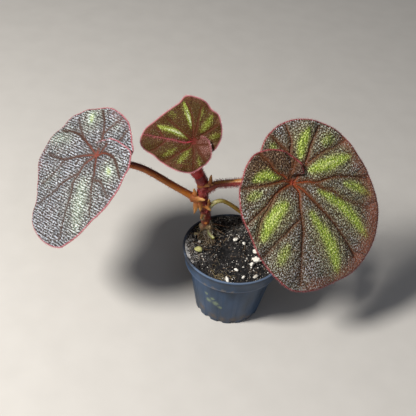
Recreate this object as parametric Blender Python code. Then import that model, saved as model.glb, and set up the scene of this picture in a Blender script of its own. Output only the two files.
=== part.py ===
"""A begonia with blistered, lime striped leaves, growing in a small plastic nursery pot.

Every length here is in millimetres and every angle in degrees; add_solid turns a finished mesh
into metres. The pot stands on z = 0 with its axis on the Z axis, and the plant is seen from -Y.
"""

import math
import random
from dataclasses import dataclass

import bmesh
import bpy
from mathutils import Matrix, Vector, noise
from mathutils.bvhtree import BVHTree

MM = 0.001
GAP = 0.3  # clearance that touching pieces keep

# Pot: a thin moulded cone with a stepped collar, a raised drainage channel and a notched foot
POT_HEIGHT = 45.0
RIM_RADIUS = 30.0
COLLAR_HEIGHT = 9.2
COLLAR_FOOT_RADIUS = 28.3
BODY_TOP_RADIUS = 26.0
BASE_RADIUS = 19.7
POT_WALL = 0.9
POT_FLOOR = 1.0
PAD_RADIUS = 9.0
CHANNEL_INNER_RADIUS = 10.0
CHANNEL_OUTER_RADIUS = 16.2
CHANNEL_RISE = 1.8
FOOT_INNER_RADIUS = 17.2
POT_SEGMENTS = 48
DRAIN_COUNT = 8
DRAIN_DIAMETER = 4.0
NOTCH_COUNT = 16
NOTCH_WIDTH = 3.0
NOTCH_HEIGHT = 1.3

# Soil
SOIL_TOP = 41.8
SOIL_ROUGHNESS = 0.8
SOIL_HOLLOW_CENTRE = (-3.8, -1.6)
SOIL_HOLLOW_RADIUS = 6.0
SOIL_HOLLOW_DEPTH = 2.6
SOIL_BANK_SIDE = (-0.5, 0.87)
SOIL_BANK_START = 19.0
SOIL_BANK_WIDTH = 8.0
SOIL_BANK_HEIGHT = 3.0
SOIL_EDGE_DROP = 0.6
SOIL_RINGS = (4.5, 9, 13, 17, 21, 25)

# Stem: (x, y, z, radius), from its buried foot to its top
STEM_ROUTE = (
    (-13.5, 11.5, 25.0, 2.2),
    (-15.0, 12.6, 34.0, 2.4),
    (-16.6, 14.0, 42.3, 2.5),
    (-18.0, 13.0, 51.0, 2.6),
    (-18.4, 11.8, 59.0, 2.9),
    (-20.4, 11.0, 66.0, 3.4),
    (-21.3, 9.8, 74.0, 3.3),
    (-21.3, 9.0, 82.0, 3.2),
    (-23.0, 8.6, 87.0, 3.3),
    (-24.4, 8.0, 90.2, 3.3),
)
# Papery stipules: where each is rooted in the stem, its tip, and its half width
STIPULES = (
    ((-23.2, 8.0, 76.2), (-20.2, 5.4, 73.2), 1.3),
    ((-23.6, 8.2, 76.5), (-26.4, 6.4, 82.2), 0.9),
    ((-22.2, 8.2, 68.6), (-25.6, 6.2, 61.8), 1.2),
    ((-20.0, 7.6, 84.2), (-17.4, 6.0, 92.0), 0.8),
    ((-22.6, 6.8, 82.2), (-20.2, 5.2, 85.4), 1.6),
    ((-19.4, 9.4, 69.6), (-17.0, 7.4, 75.6), 0.7),
)
# Pale lumps round the foot of the stem: (x, y, z, radius)
NODULES = (
    (-19.4, 11.2, 48.4, 1.9),
    (-15.6, 10.6, 49.2, 1.5),
    (-19.6, 11.6, 45.4, 1.2),
    (-20.2, 14.2, 47.4, 1.5),
)
ROOT_RADIUS = 0.45
ROOTS = (
    ((-16, 13, 49.5), (-11, 14.5, 48.6), (-6.5, 16.5, 46), (-3.4, 18.5, 44.1)),
    ((-16, 12.5, 48), (-11.5, 11.8, 47.2), (-8, 11.4, 45.6), (-5.6, 11.2, 44.1)),
    ((-17.5, 12.5, 47.4), (-20.5, 9.5, 46.4), (-21.6, 6.4, 45.5), (-21.8, 4.6, 44.6)),
)

# Petioles: (x, y, z, radius) from inside the stem; make_petiole adds the end under the blade
PETIOLE_ROUTES = {
    "left": (
        (-21.0, 10.2, 70.0, 2.4),
        (-27.6, 9.5, 73.2, 2.2),
        (-32.9, 9.0, 76.6, 2.0),
        (-40.7, 8.2, 81.8, 2.0),
        (-48.4, 7.4, 87.2, 2.0),
        (-56.0, 7.2, 91.2, 1.9),
        (-64.0, 7.0, 93.2, 1.9),
        (-72.5, 6.6, 94.2, 1.9),
    ),
    "right": (
        (-20.0, 9.3, 78.0, 2.2),
        (-15.4, 8.6, 83.0, 2.1),
        (-11.5, 8.0, 85.3, 1.9),
        (-6.1, 7.0, 87.2, 1.9),
        (0.2, 5.8, 89.6, 1.9),
        (12.0, 5.8, 91.4, 1.8),
        (20.0, 6.0, 91.8, 1.8),
    ),
    "lower": (
        (-17.5, 10.4, 64.5, 1.5),
        (-14.8, 9.8, 68.5, 1.4),
        (-12.4, 10.2, 70.3, 1.3),
        (-9.4, 10.8, 70.4, 1.25),
        (-6.1, 11.5, 68.6, 1.25),
        (-2.2, 12.2, 65.5, 1.25),
        (1.8, 13.0, 61.9, 1.25),
        (8.0, 13.6, 57.6, 1.25),
        (15.3, 14.0, 53.6, 1.25),
        (24.0, 14.6, 49.6, 1.25),
    ),
}
# The young petiole is the stem's own tip, so it starts face to face with the stem's end
YOUNG_ROUTE = (
    (-25.8, 7.4, 92.9, 3.7),
    (-27.4, 7.0, 97.2, 3.5),
    (-28.2, 7.2, 103.0, 3.0),
    (-28.4, 7.8, 108.6, 2.4),
)
STUB_ROUTE = (
    (-16.4, 13.0, 45.6, 1.1),
    (-15.4, 10.6, 45.2, 1.0),
    (-14.0, 8.6, 44.8, 1.0),
    (-12.1, 6.4, 44.4, 0.9),
)

# Blades
BLADE_THICKNESS = 0.8
HUB_SWELLING = 0.3
HUB_RADIUS = 2.2
RIB_HEIGHT = 0.7
SLIT_ANGLE = 15  # what stays open between the two basal lobes round the hub
LOBES_PART_RADIUS = 3.0
LOBES_FREE_RADIUS = 9.0
LOBE_START_ANGLE = 110
PEBBLE_HEIGHT = 0.35  # of the blisters, as a part of the quilting
PEBBLE_START_RADIUS = 16
SPOKE_STEP = 9


@dataclass
class Leaf:
    """A blade in polar form round its petiole: 0 degrees is the tip, and the outline runs from the
    hidden edge of the back basal lobe, under the sinus, to the free edge of the front lobe."""

    hub: tuple  # where the petiole meets the upper face
    facing: float  # compass angle of the upper face, from -Y towards +X
    rise: float  # how far the upper face looks up
    turn: float  # angle of the tip in the blade's plane, from level
    hand: int  # 1 or -1: which way round the angles run
    crown: tuple  # height and radius of the swell round the hub
    droop: float
    puff: float  # height of the quilting between two main veins
    lobe_lift: float
    rings: int
    outline: tuple  # (angle, radius)
    veins: tuple  # main vein angles


LEAVES = {
    "right": Leaf(
        hub=(27.3, 2.0, 96.1), facing=25, rise=38, turn=-84, hand=-1,
        crown=(2.5, 10), droop=0.0016, puff=1.3, lobe_lift=2.25, rings=11,
        outline=(
            (-224, 22), (-210, 26), (-190, 30), (-165, 34), (-135, 37.5),
            (-112, 41), (-98, 42.5), (-84, 46.5), (-72, 51.5), (-55, 58.5), (-40, 62.5),
            (-25, 65), (-10, 63), (5, 62), (15, 60), (25, 54), (35, 48), (45, 43.5),
            (55, 39), (70, 36), (90, 33), (110, 30.5), (135, 28), (150, 24.5), (170, 19),
            (190, 14), (215, 10.5), (245, 6.5),
        ),
        veins=(-190, -168, -137, -111, -78, -57, -30, 9, 35, 52, 68, 99, 142, 195),
    ),
    "left": Leaf(
        hub=(-81.0, 4.0, 100.0), facing=-60, rise=45, turn=-96, hand=1,
        crown=(2.5, 10), droop=0.0016, puff=1.3, lobe_lift=2.25, rings=11,
        outline=(
            (-236, 23), (-223, 26.5), (-205, 25.5), (-175, 25.5), (-150, 26.5),
            (-127, 28.6), (-111, 30.5), (-98, 33.4), (-87, 36.8), (-70, 42), (-55, 46),
            (-40, 47), (-25, 46), (-13, 47), (-3, 52), (8, 55.5), (22, 56), (35, 54.8),
            (45, 51), (55, 45.5), (65, 41), (80, 36.5), (100, 33), (120, 30.8), (135, 28),
            (147, 21.5), (160, 16.5), (177, 11.5), (198, 7.5), (226, 5.5),
        ),
        veins=(-205, -165, -128, -89, -70, -45, -25, -4, 33, 61, 83, 108, 140, 172),
    ),
    "young": Leaf(
        hub=(-28.6, 4.0, 115.5), facing=-10, rise=35, turn=-168, hand=1,
        crown=(1.5, 7), droop=0.002, puff=0.7, lobe_lift=1.9, rings=7,
        outline=(
            (-226, 9.8), (-205, 12.2), (-185, 14), (-165, 16), (-150, 17.6),
            (-135, 19.4), (-120, 19.6), (-108, 22), (-95, 23.4), (-80, 24.4), (-69, 21.8),
            (-55, 21.3), (-40, 22), (-26, 24.2), (-12, 28), (0, 29.3), (8, 27.8),
            (19, 23.3), (30, 21.5), (45, 19.4), (65, 18), (85, 17.2), (103, 15.2),
            (134, 13.2), (157, 10.7), (180, 8.6), (205, 6), (232, 4.5),
        ),
        veins=(-195, -148, -107, -84, -42, -7, 35, 60, 90, 123, 165),
    ),
    "lower": Leaf(
        hub=(35.0, 14.0, 51.0), facing=60, rise=50, turn=-88, hand=1,
        crown=(1.8, 8), droop=0.002, puff=0.8, lobe_lift=1.9, rings=7,
        outline=(
            (-216, 13.5), (-180, 17.5), (-145, 19.5), (-110, 21.5), (-80, 23.5),
            (-50, 25.5), (-25, 29.5), (-5, 33.5), (10, 31.5), (30, 26.5), (60, 22.5),
            (95, 19.5), (130, 18), (160, 14.5), (195, 9.5), (228, 5.5),
        ),
        veins=(-185, -140, -100, -62, -28, -3, 30, 70, 110, 150, 190),
    ),
}

# Loose bits on the soil: (x, y, length, width, height)
PERLITE = (
    (12.9, 0.3, 3.3, 3.0, 2.2),
    (14.0, -7.1, 5.0, 4.0, 3.2),
    (11.2, -10.9, 3.3, 2.2, 2.0),
    (0.9, 8.7, 3.4, 2.5, 1.6),
    (6.0, 6.7, 2.1, 1.9, 1.5),
    (2.4, -16.2, 2.9, 1.6, 1.4),
    (6.7, -21.4, 2.6, 1.5, 1.4),
    (13.5, -20.1, 3.4, 1.8, 1.4),
    (-20.4, 4.0, 2.1, 1.7, 1.3),
    (-2.6, -25.0, 4.4, 1.9, 1.5),
)
ROCK_CHUNK = (-20.4, -3.7, 4.6, 4.0, 2.4)
BARK_CHIP = (-23.0, 8.2, 3.0, 2.0, 1.2)

# Material colours, sRGB, with roughness
FINISHES = {
    "pot": ("#38414f", 0.45),
    "soil": ("#171311", 0.95),
    "stem": ("#6b2026", 0.5),
    "old_petiole": ("#9aa03a", 0.55),
    "petiole_left": ("#a55a26", 0.5),
    "petiole_right": ("#7a2a2a", 0.55),
    "petiole_young": ("#74202a", 0.5),
    "petiole_lower": ("#b08a3c", 0.5),
    "leaf_mature": ("#3d3a30", 0.45),
    "leaf_young": ("#5c3026", 0.4),
    "perlite": ("#e8e6de", 0.9),
    "rock_chunk": ("#b9ba72", 0.9),
    "bark_chip": ("#8a7350", 0.9),
}


def linear(channel):
    """One sRGB channel, 0 to 1, in linear light."""
    if channel <= 0.04045:
        return channel / 12.92
    return ((channel + 0.055) / 1.055) ** 2.4


def finish(name):
    """The named Principled material, made the first time that it is asked for."""
    if name in bpy.data.materials:
        return bpy.data.materials[name]
    colour, roughness = FINISHES[name]
    rgb = [linear(int(colour[i : i + 2], 16) / 255) for i in (1, 3, 5)]
    material = bpy.data.materials.new(name)
    material.use_nodes = True
    shader = material.node_tree.nodes["Principled BSDF"]
    shader.inputs["Base Color"].default_value = (*rgb, 1)
    shader.inputs["Roughness"].default_value = roughness
    shader.inputs["Metallic"].default_value = 0
    return material


def add_solid(name, mesh, material):
    """A scene object in metres from a bmesh in millimetres."""
    bmesh.ops.recalc_face_normals(mesh, faces=mesh.faces)
    bmesh.ops.scale(mesh, vec=(MM, MM, MM), verts=mesh.verts)
    data = bpy.data.meshes.new(name)
    mesh.to_mesh(data)
    mesh.free()
    data.materials.append(finish(material))
    data.shade_smooth()
    data.set_sharp_from_angle(angle=math.radians(40))
    solid = bpy.data.objects.new(name, data)
    bpy.context.scene.collection.objects.link(solid)
    return solid


def as_cutter(solid):
    solid.hide_render = True
    solid.display_type = "WIRE"
    return solid


def subtract(solid, cutter):
    modifier = solid.modifiers.new("Cut", "BOOLEAN")
    modifier.operation = "DIFFERENCE"
    modifier.object = cutter


def join_all(solid, pieces):
    """Fuses the pieces into the solid with one Boolean union, then removes them."""
    group = bpy.data.collections.new(solid.name + "_pieces")
    bpy.context.scene.collection.children.link(group)
    for piece in pieces:
        group.objects.link(piece)
    modifier = solid.modifiers.new("Join", "BOOLEAN")
    modifier.operation = "UNION"
    modifier.operand_type = "COLLECTION"
    modifier.collection = group
    bpy.context.view_layer.update()
    graph = bpy.context.evaluated_depsgraph_get()
    joined = bpy.data.meshes.new_from_object(solid.evaluated_get(graph))
    solid.modifiers.clear()
    solid.data = joined
    for piece in pieces:
        bpy.data.objects.remove(piece)
    bpy.data.collections.remove(group)


def smooth(value):
    """0 up to 0, 1 from 1 on, and an even rise between."""
    value = min(max(value, 0.0), 1.0)
    return value * value * (3 - 2 * value)


def smooth_route(route, steps=3):
    """Catmull-Rom points through the route, which may carry a radius as its fourth number."""
    points = [Vector(point) for point in route]
    points = [2 * points[0] - points[1], *points, 2 * points[-1] - points[-2]]
    curve = []
    for before, start, end, after in zip(points, points[1:], points[2:], points[3:]):
        for step in range(steps):
            t = step / steps
            curve.append(
                start
                + 0.5 * t * (end - before)
                + t * t * (before - 2.5 * start + 2 * end - 0.5 * after)
                + t**3 * (1.5 * (start - end) + 0.5 * (after - before))
            )
    curve.append(points[-2])
    return curve


def tube(route, sides, swell=0.0, flat=1.0, steps=3):
    """A closed tube along (x, y, z, radius) points; swell adds to its radius."""
    rows = smooth_route(route, steps)
    centres = [row.to_3d() for row in rows]
    mesh = bmesh.new()
    side = (centres[1] - centres[0]).orthogonal().normalized()
    rings = []
    for index, (centre, row) in enumerate(zip(centres, rows)):
        ahead = centres[min(index + 1, len(centres) - 1)]
        behind = centres[max(index - 1, 0)]
        along = (ahead - behind).normalized()
        side = (side - along * side.dot(along)).normalized()
        across = along.cross(side) * flat
        ring = []
        for corner in range(sides):
            angle = math.tau * corner / sides
            reach = side * math.cos(angle) + across * math.sin(angle)
            ring.append(mesh.verts.new(centre + reach * (row[3] + swell)))
        rings.append(ring)
    for near, far in zip(rings, rings[1:]):
        for corner in range(sides):
            after = (corner + 1) % sides
            mesh.faces.new((near[corner], near[after], far[after], far[corner]))
    mesh.faces.new(reversed(rings[0]))
    mesh.faces.new(rings[-1])
    return mesh


def turned(profile, segments):
    """Spins a closed (radius, height) profile round the Z axis."""
    mesh = bmesh.new()
    corners = [mesh.verts.new((radius, 0, height)) for radius, height in profile]
    edges = [mesh.edges.new(pair) for pair in zip(corners, corners[1:])]
    bmesh.ops.spin(
        mesh,
        geom=corners + edges,
        axis=(0, 0, 1),
        cent=(0, 0, 0),
        angle=math.tau,
        steps=segments,
        use_merge=True,
    )
    bmesh.ops.remove_doubles(mesh, verts=mesh.verts, dist=0.001)
    return mesh


def pot_inside():
    """The (radius, height) line of the pot's inner face, from the rim down to the axis."""
    step = POT_HEIGHT - COLLAR_HEIGHT
    floor = CHANNEL_RISE + POT_FLOOR
    return [
        (RIM_RADIUS - 1.3, POT_HEIGHT - 0.3),
        (COLLAR_FOOT_RADIUS - POT_WALL, step + 1.2),
        (BODY_TOP_RADIUS - POT_WALL, step + 0.4),
        (BASE_RADIUS - POT_WALL + 0.3, floor),
        (CHANNEL_INNER_RADIUS - 0.2, floor),
        (PAD_RADIUS - 0.4, POT_FLOOR),
        (0, POT_FLOOR),
    ]


def make_pot():
    step = POT_HEIGHT - COLLAR_HEIGHT
    outside = [
        (0, 0),
        (PAD_RADIUS, 0),
        (CHANNEL_INNER_RADIUS, CHANNEL_RISE),
        (CHANNEL_OUTER_RADIUS, CHANNEL_RISE),
        (FOOT_INNER_RADIUS, 0),
        (BASE_RADIUS - 0.4, 0),
        (BASE_RADIUS, 0.5),
        (BODY_TOP_RADIUS, step - 0.3),
        (COLLAR_FOOT_RADIUS, step),
        (RIM_RADIUS - 0.4, POT_HEIGHT - 1.1),
        (RIM_RADIUS, POT_HEIGHT - 0.7),
        (RIM_RADIUS, POT_HEIGHT - 0.2),
        (RIM_RADIUS - 0.4, POT_HEIGHT),
        (RIM_RADIUS - 1.0, POT_HEIGHT),
    ]
    pot = add_solid("pot", turned(outside + pot_inside(), POT_SEGMENTS), "pot")
    subtract(pot, drain_cutter())
    subtract(pot, notch_cutter())


def drain_cutter():
    """Upright rods through the floor of the drainage channel."""
    mesh = bmesh.new()
    radius = (CHANNEL_INNER_RADIUS + CHANNEL_OUTER_RADIUS) / 2
    for index in range(DRAIN_COUNT):
        place = Matrix.Rotation(math.tau * (index + 0.5) / DRAIN_COUNT, 4, "Z")
        bmesh.ops.create_cone(
            mesh,
            cap_ends=True,
            segments=12,
            radius1=DRAIN_DIAMETER / 2,
            radius2=DRAIN_DIAMETER / 2,
            depth=4 * POT_FLOOR,
            matrix=place @ Matrix.Translation((radius, 0, CHANNEL_RISE + POT_FLOOR / 2)),
        )
    return as_cutter(add_solid("drain_cutter", mesh, "pot"))


def notch_cutter():
    """Blocks that cut the foot ring into short feet."""
    mesh = bmesh.new()
    length = BASE_RADIUS - CHANNEL_OUTER_RADIUS + 2
    size = Matrix.Diagonal((length, NOTCH_WIDTH, 2 * NOTCH_HEIGHT, 1))
    middle = CHANNEL_OUTER_RADIUS + length / 2 - 0.4
    for index in range(NOTCH_COUNT):
        place = Matrix.Rotation(math.tau * (index + 0.5) / NOTCH_COUNT, 4, "Z")
        bmesh.ops.create_cube(mesh, matrix=place @ Matrix.Translation((middle, 0, 0)) @ size)
    return as_cutter(add_solid("notch_cutter", mesh, "pot"))


def soil_bank(x, y):
    """How far the soil is banked up against the rim, behind and to the left."""
    radius = math.hypot(x, y)
    aside = (x * SOIL_BANK_SIDE[0] + y * SOIL_BANK_SIDE[1]) / max(radius, 1)
    outwards = smooth((radius - SOIL_BANK_START) / SOIL_BANK_WIDTH)
    return SOIL_BANK_HEIGHT * outwards * smooth((aside + 0.55) / 0.9)


def soil_height(x, y):
    """The soil is uneven, banked up along one side, and sunk a little in one place."""
    rough = noise.noise(Vector((x, y, 0)) / 6) + 0.5 * noise.noise(Vector((x, y, 9)) / 2.5)
    off = math.dist((x, y), SOIL_HOLLOW_CENTRE) / SOIL_HOLLOW_RADIUS
    hollow = SOIL_HOLLOW_DEPTH * math.exp(-off * off)
    return SOIL_TOP + SOIL_ROUGHNESS * rough + soil_bank(x, y) - hollow


def make_soil():
    """A plug that fills the pot, with a bore that the foot of the stem stands in."""
    wall = [(max(radius - 0.35, 0), height + GAP) for radius, height in pot_inside()[1:]]
    edge = (wall[0][0] + 0.7, SOIL_TOP - SOIL_EDGE_DROP)
    top = [(0, SOIL_TOP)] + [(radius, SOIL_TOP) for radius in SOIL_RINGS]
    mesh = turned(top + [edge] + wall, POT_SEGMENTS - 8)
    for vert in mesh.verts:
        if vert.co.z > SOIL_TOP - 0.1:
            vert.co.z = soil_height(vert.co.x, vert.co.y)
        elif vert.co.z > SOIL_TOP - SOIL_EDGE_DROP - 0.1:
            vert.co.z += soil_bank(vert.co.x, vert.co.y)
    soil = add_solid("soil", mesh, "soil")
    foot = [(*row.to_3d(), row[3]) for row in map(Vector, STEM_ROUTE[:4])]
    below = Vector(foot[0]) - Vector((0, 0, GAP, 0))
    bore = add_solid("stem_bore", tube([below, *foot[1:]], 12, swell=GAP), "soil")
    subtract(soil, as_cutter(bore))
    return soil


def make_stem():
    """The stem with its stipules, the lumps at its foot and its surface roots, grown as one."""
    stem = add_solid("stem", tube(STEM_ROUTE, 12), "stem")
    pieces = []
    for root, tip, half_width in STIPULES:
        middle = (Vector(root) + Vector(tip)) / 2
        route = ((*root, half_width), (*middle, 0.75 * half_width), (*tip, 0.2))
        pieces.append(add_solid("stipule", tube(route, 6, flat=0.6, steps=2), "stem"))
    for x, y, z, radius in NODULES:
        mesh = bmesh.new()
        place = Matrix.Translation((x, y, z))
        bmesh.ops.create_icosphere(mesh, subdivisions=2, radius=radius, matrix=place)
        pieces.append(add_solid("nodule", mesh, "stem"))
    for root in ROOTS:
        route = [(*point, ROOT_RADIUS) for point in root]
        pieces.append(add_solid("root", tube(route, 5), "stem"))
    join_all(stem, pieces)


def stem_clearance():
    return as_cutter(add_solid("stem_clearance", tube(STEM_ROUTE, 12, swell=GAP), "stem"))


def blade_axes(leaf):
    """(towards the tip, sideways, out of the upper face)"""
    facing, rise, turn = (math.radians(a) for a in (leaf.facing, leaf.rise, leaf.turn))
    out = Vector((math.sin(facing) * math.cos(rise), -math.cos(facing) * math.cos(rise), 0))
    out.z = math.sin(rise)
    level = Vector((math.cos(facing), math.sin(facing), 0))
    tip = level * math.cos(turn) + out.cross(level) * math.sin(turn)
    return tip, out.cross(tip) * leaf.hand, out


def make_petiole(name, clearance):
    """A leaf stalk from the stem that bends up square to the underside of its blade."""
    leaf = LEAVES[name]
    out = blade_axes(leaf)[2]
    under = Vector(leaf.hub) - out * (BLADE_THICKNESS + HUB_SWELLING + GAP)
    if name == "young":
        end = Vector(STEM_ROUTE[-1])
        along = (end - Vector(STEM_ROUTE[-2])).to_3d().normalized()
        route = [(*(end.to_3d() + along * GAP), end[3]), *YOUNG_ROUTE]
    else:
        route = list(PETIOLE_ROUTES[name])
    radius = min(route[-1][3], HUB_RADIUS - 0.2)
    route += [(*(under - out * 3.5), radius), (*under, radius)]
    mesh = tube(route, 10, steps=2)
    petiole = add_solid("petiole_" + name, mesh, "petiole_" + name)
    if name != "young":
        subtract(petiole, clearance)


def make_stub(clearance):
    """What is left of an old leaf stalk, lying over the soil."""
    stub = add_solid("old_petiole", tube(STUB_ROUTE, 8), "old_petiole")
    subtract(stub, clearance)


def outline_radius(leaf, angle):
    """The outline's radius at this angle, on a smooth curve through its points."""
    points = leaf.outline
    index = 0
    while index < len(points) - 2 and angle > points[index + 1][0]:
        index += 1
    (start, near), (end, far) = points[index : index + 2]
    before = points[max(index - 1, 0)]
    after = points[min(index + 2, len(points) - 1)]
    width = end - start
    leave = (far - before[1]) / (end - before[0]) * width
    arrive = (after[1] - near) / (after[0] - start) * width
    t = (angle - start) / width
    bend = near + t * leave + t * t * (3 * (far - near) - 2 * leave - arrive)
    return bend + t**3 * (2 * (near - far) + leave + arrive)


def spokes(leaf):
    """(angle, place between its two main veins from 0 to 1), right round the blade."""
    stops = [leaf.outline[0][0], *leaf.veins, leaf.outline[-1][0]]
    found = []
    for start, end in zip(stops, stops[1:]):
        steps = max(2, round((end - start) / SPOKE_STEP))
        found += [(start + (end - start) * i / steps, i / steps) for i in range(steps)]
    return [*found, (stops[-1], 0.0)]


def blade_point(leaf, axes, angle, radius, height):
    """A point over the blade's plane, with the basal lobes eased past each other."""
    tip, sideways, out = axes
    first, last = leaf.outline[0][0], leaf.outline[-1][0]
    middle, half = (first + last) / 2, (last - first) / 2
    tight = (180 - SLIT_ANGLE / 2) / half
    free = (radius - LOBES_PART_RADIUS) / (LOBES_FREE_RADIUS - LOBES_PART_RADIUS)
    spread = tight + (1 - tight) * smooth(free)
    theta = math.radians(middle + (angle - middle) * spread)
    reach = (abs(angle - middle) - LOBE_START_ANGLE) / (half - LOBE_START_ANGLE)
    lift = leaf.lobe_lift * smooth(reach) * smooth((radius - HUB_RADIUS) / 4)
    crown, crown_radius = leaf.crown
    dome = crown * (1 - math.exp(-((radius / crown_radius) ** 2))) - leaf.droop * radius**2
    along = tip * math.cos(theta) + sideways * math.sin(theta)
    height += dome + math.copysign(lift, angle - middle)
    return Vector(leaf.hub) + along * radius + out * height


def make_blade(name, material):
    """Two faces of the same triangles, quilted between the main veins and ribbed underneath."""
    leaf = LEAVES[name]
    axes = blade_axes(leaf)
    mesh = bmesh.new()
    hub_top = mesh.verts.new(leaf.hub)
    hub_under = mesh.verts.new(
        Vector(leaf.hub) - axes[2] * (BLADE_THICKNESS + HUB_SWELLING)
    )
    upper, lower = [], []
    for column, (angle, place) in enumerate(spokes(leaf)):
        edge = outline_radius(leaf, angle)
        above, below = [], []
        for ring in range(leaf.rings + 1):
            part = ring / leaf.rings
            radius = HUB_RADIUS + (edge - HUB_RADIUS) * part
            height = leaf.puff * 4 * place * (1 - place) * radius / (radius + 10)
            if 0 < place < 1 and 0 < ring < leaf.rings:
                blister = PEBBLE_HEIGHT * leaf.puff * smooth(radius / PEBBLE_START_RADIUS)
                height += blister * (-1) ** (ring + column)
            rise = smooth((radius - HUB_RADIUS) / 5)
            rib = RIB_HEIGHT * rise * (1 - 0.6 * part) if place == 0 else 0
            depth = BLADE_THICKNESS + rib + HUB_SWELLING * (ring == 0)
            above.append(mesh.verts.new(blade_point(leaf, axes, angle, radius, height)))
            below.append(mesh.verts.new(above[-1].co - axes[2] * depth))
        upper.append(above)
        lower.append(below)
    for side, hub in ((upper, hub_top), (lower, hub_under)):
        for near, far in zip(side, side[1:]):
            mesh.faces.new((hub, near[0], far[0]))
            for ring in range(leaf.rings):
                mesh.faces.new((near[ring], near[ring + 1], far[ring + 1]))
                mesh.faces.new((near[ring], far[ring + 1], far[ring]))
    walls = [[top[-1] for top in upper], [top[-1] for top in lower]]
    slits = [([hub_top, *upper[i]], [hub_under, *lower[i]]) for i in (0, -1)]
    for top, bottom in [walls, *slits]:
        for i in range(len(top) - 1):
            mesh.faces.new((top[i], top[i + 1], bottom[i + 1], bottom[i]))
    add_solid("leaf_" + name, mesh, material)


def drop_onto(mesh, ground):
    """Lowers the mesh until it is GAP over the ground, wherever the two are closest."""
    over = BVHTree.FromBMesh(mesh)
    down, up = Vector((0, 0, -1)), Vector((0, 0, 1))
    ground_tree = BVHTree.FromPolygons(
        [vert.co / MM for vert in ground.data.vertices],
        [tuple(face.vertices) for face in ground.data.polygons],
    )
    falls = [ground_tree.ray_cast(vert.co, down)[3] for vert in mesh.verts]
    for vert in ground.data.vertices:
        falls.append(over.ray_cast(vert.co / MM, up)[3])
    fall = min(distance for distance in falls if distance is not None) - GAP
    bmesh.ops.translate(mesh, vec=(0, 0, -fall), verts=mesh.verts)


def make_grain(name, size, material, ground, seed):
    """A knobbly bit of perlite, stone or bark, lying on the soil."""
    x, y, length, width, height = size
    draw = random.Random(seed)
    mesh = bmesh.new()
    bmesh.ops.create_icosphere(mesh, subdivisions=2, radius=0.5)
    for vert in mesh.verts:
        vert.co *= 1 + 0.3 * noise.noise(vert.co * 3 + Vector((seed, 0, 0)))
    turn = Matrix.Rotation(draw.uniform(0, math.pi), 4, "Z")
    scale = Matrix.Diagonal((length, width, height, 1))
    place = Matrix.Translation((x, y, SOIL_TOP + 8))
    bmesh.ops.transform(mesh, matrix=place @ turn @ scale, verts=mesh.verts)
    drop_onto(mesh, ground)
    add_solid(name, mesh, material)


def make_loose_bits(soil):
    for index, size in enumerate(PERLITE, 1):
        make_grain(f"perlite_{index:02d}", size, "perlite", soil, index)
    make_grain("rock_chunk", ROCK_CHUNK, "rock_chunk", soil, 31)
    make_grain("bark_chip", BARK_CHIP, "bark_chip", soil, 32)


def main():
    for old in list(bpy.data.objects):
        bpy.data.objects.remove(old)
    make_pot()
    soil = make_soil()
    make_stem()
    clearance = stem_clearance()
    for name in LEAVES:
        make_petiole(name, clearance)
        make_blade(name, "leaf_young" if name == "young" else "leaf_mature")
    make_stub(clearance)
    make_loose_bits(soil)


main()
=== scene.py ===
import math
import random
from dataclasses import dataclass

import bpy
import numpy as np
from mathutils import Matrix, Vector, kdtree, noise


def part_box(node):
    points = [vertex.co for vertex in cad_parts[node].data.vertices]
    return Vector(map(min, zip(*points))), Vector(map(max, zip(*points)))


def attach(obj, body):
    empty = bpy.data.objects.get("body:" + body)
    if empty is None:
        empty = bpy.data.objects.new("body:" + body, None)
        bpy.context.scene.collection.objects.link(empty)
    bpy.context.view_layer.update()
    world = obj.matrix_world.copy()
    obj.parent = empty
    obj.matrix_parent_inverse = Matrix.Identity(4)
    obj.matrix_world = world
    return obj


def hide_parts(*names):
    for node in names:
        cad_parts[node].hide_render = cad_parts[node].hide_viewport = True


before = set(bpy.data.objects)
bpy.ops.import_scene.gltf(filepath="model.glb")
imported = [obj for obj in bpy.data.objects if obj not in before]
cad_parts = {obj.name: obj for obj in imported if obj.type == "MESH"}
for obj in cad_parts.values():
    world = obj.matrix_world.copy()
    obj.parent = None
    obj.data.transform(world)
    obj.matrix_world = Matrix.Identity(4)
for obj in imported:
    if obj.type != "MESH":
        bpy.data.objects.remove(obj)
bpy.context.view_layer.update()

# Lengths below are in millimetres and angles in degrees; MM turns a length into metres
MM = 0.001


# Nursery pot: a thin cone of injection moulded polypropylene, slate blue, with a stepped collar
# and a rounded lip. The drainage channel is raised inside a notched foot and has eight holes.
POT_HEIGHT = 45.0
RIM_RADIUS = 30.0
COLLAR_HEIGHT = 9.2
COLLAR_FOOT_RADIUS = 28.3
BODY_TOP_RADIUS = 26.0
BASE_RADIUS = 19.7
POT_WALL = 0.9
POT_FLOOR = 1.0
PAD_RADIUS = 9.0
CHANNEL = (10.0, 16.2)
CHANNEL_RISE = 1.8
FOOT_INNER_RADIUS = 17.2
POT_SIDES = 192
DRAIN_COUNT = 8
DRAIN_RADIUS = 2.0
NOTCH_COUNT = 16
NOTCH_HALF_ANGLE = 3.9
NOTCH_HEIGHT = 1.3
COLLAR_STEP = POT_HEIGHT - COLLAR_HEIGHT
CHANNEL_TOP = CHANNEL_RISE + POT_FLOOR


def start_fresh():
    bpy.ops.object.select_all(action="DESELECT")


def edit(thing):
    """Opens one object alone in edit mode, with nothing in it selected."""
    start_fresh()
    bpy.context.view_layer.objects.active = thing
    thing.select_set(True)
    bpy.ops.object.mode_set(mode="EDIT")
    bpy.ops.mesh.select_all(action="DESELECT")


def pick(thing, kind, test):
    """Selects the parts of the open mesh that pass the test: kind is vertices, edges or polygons."""
    bpy.ops.mesh.select_all(action="DESELECT")
    bpy.ops.object.mode_set(mode="OBJECT")
    for part in getattr(thing.data, kind):
        part.select = test(part)
    bpy.ops.object.mode_set(mode="EDIT")


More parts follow.
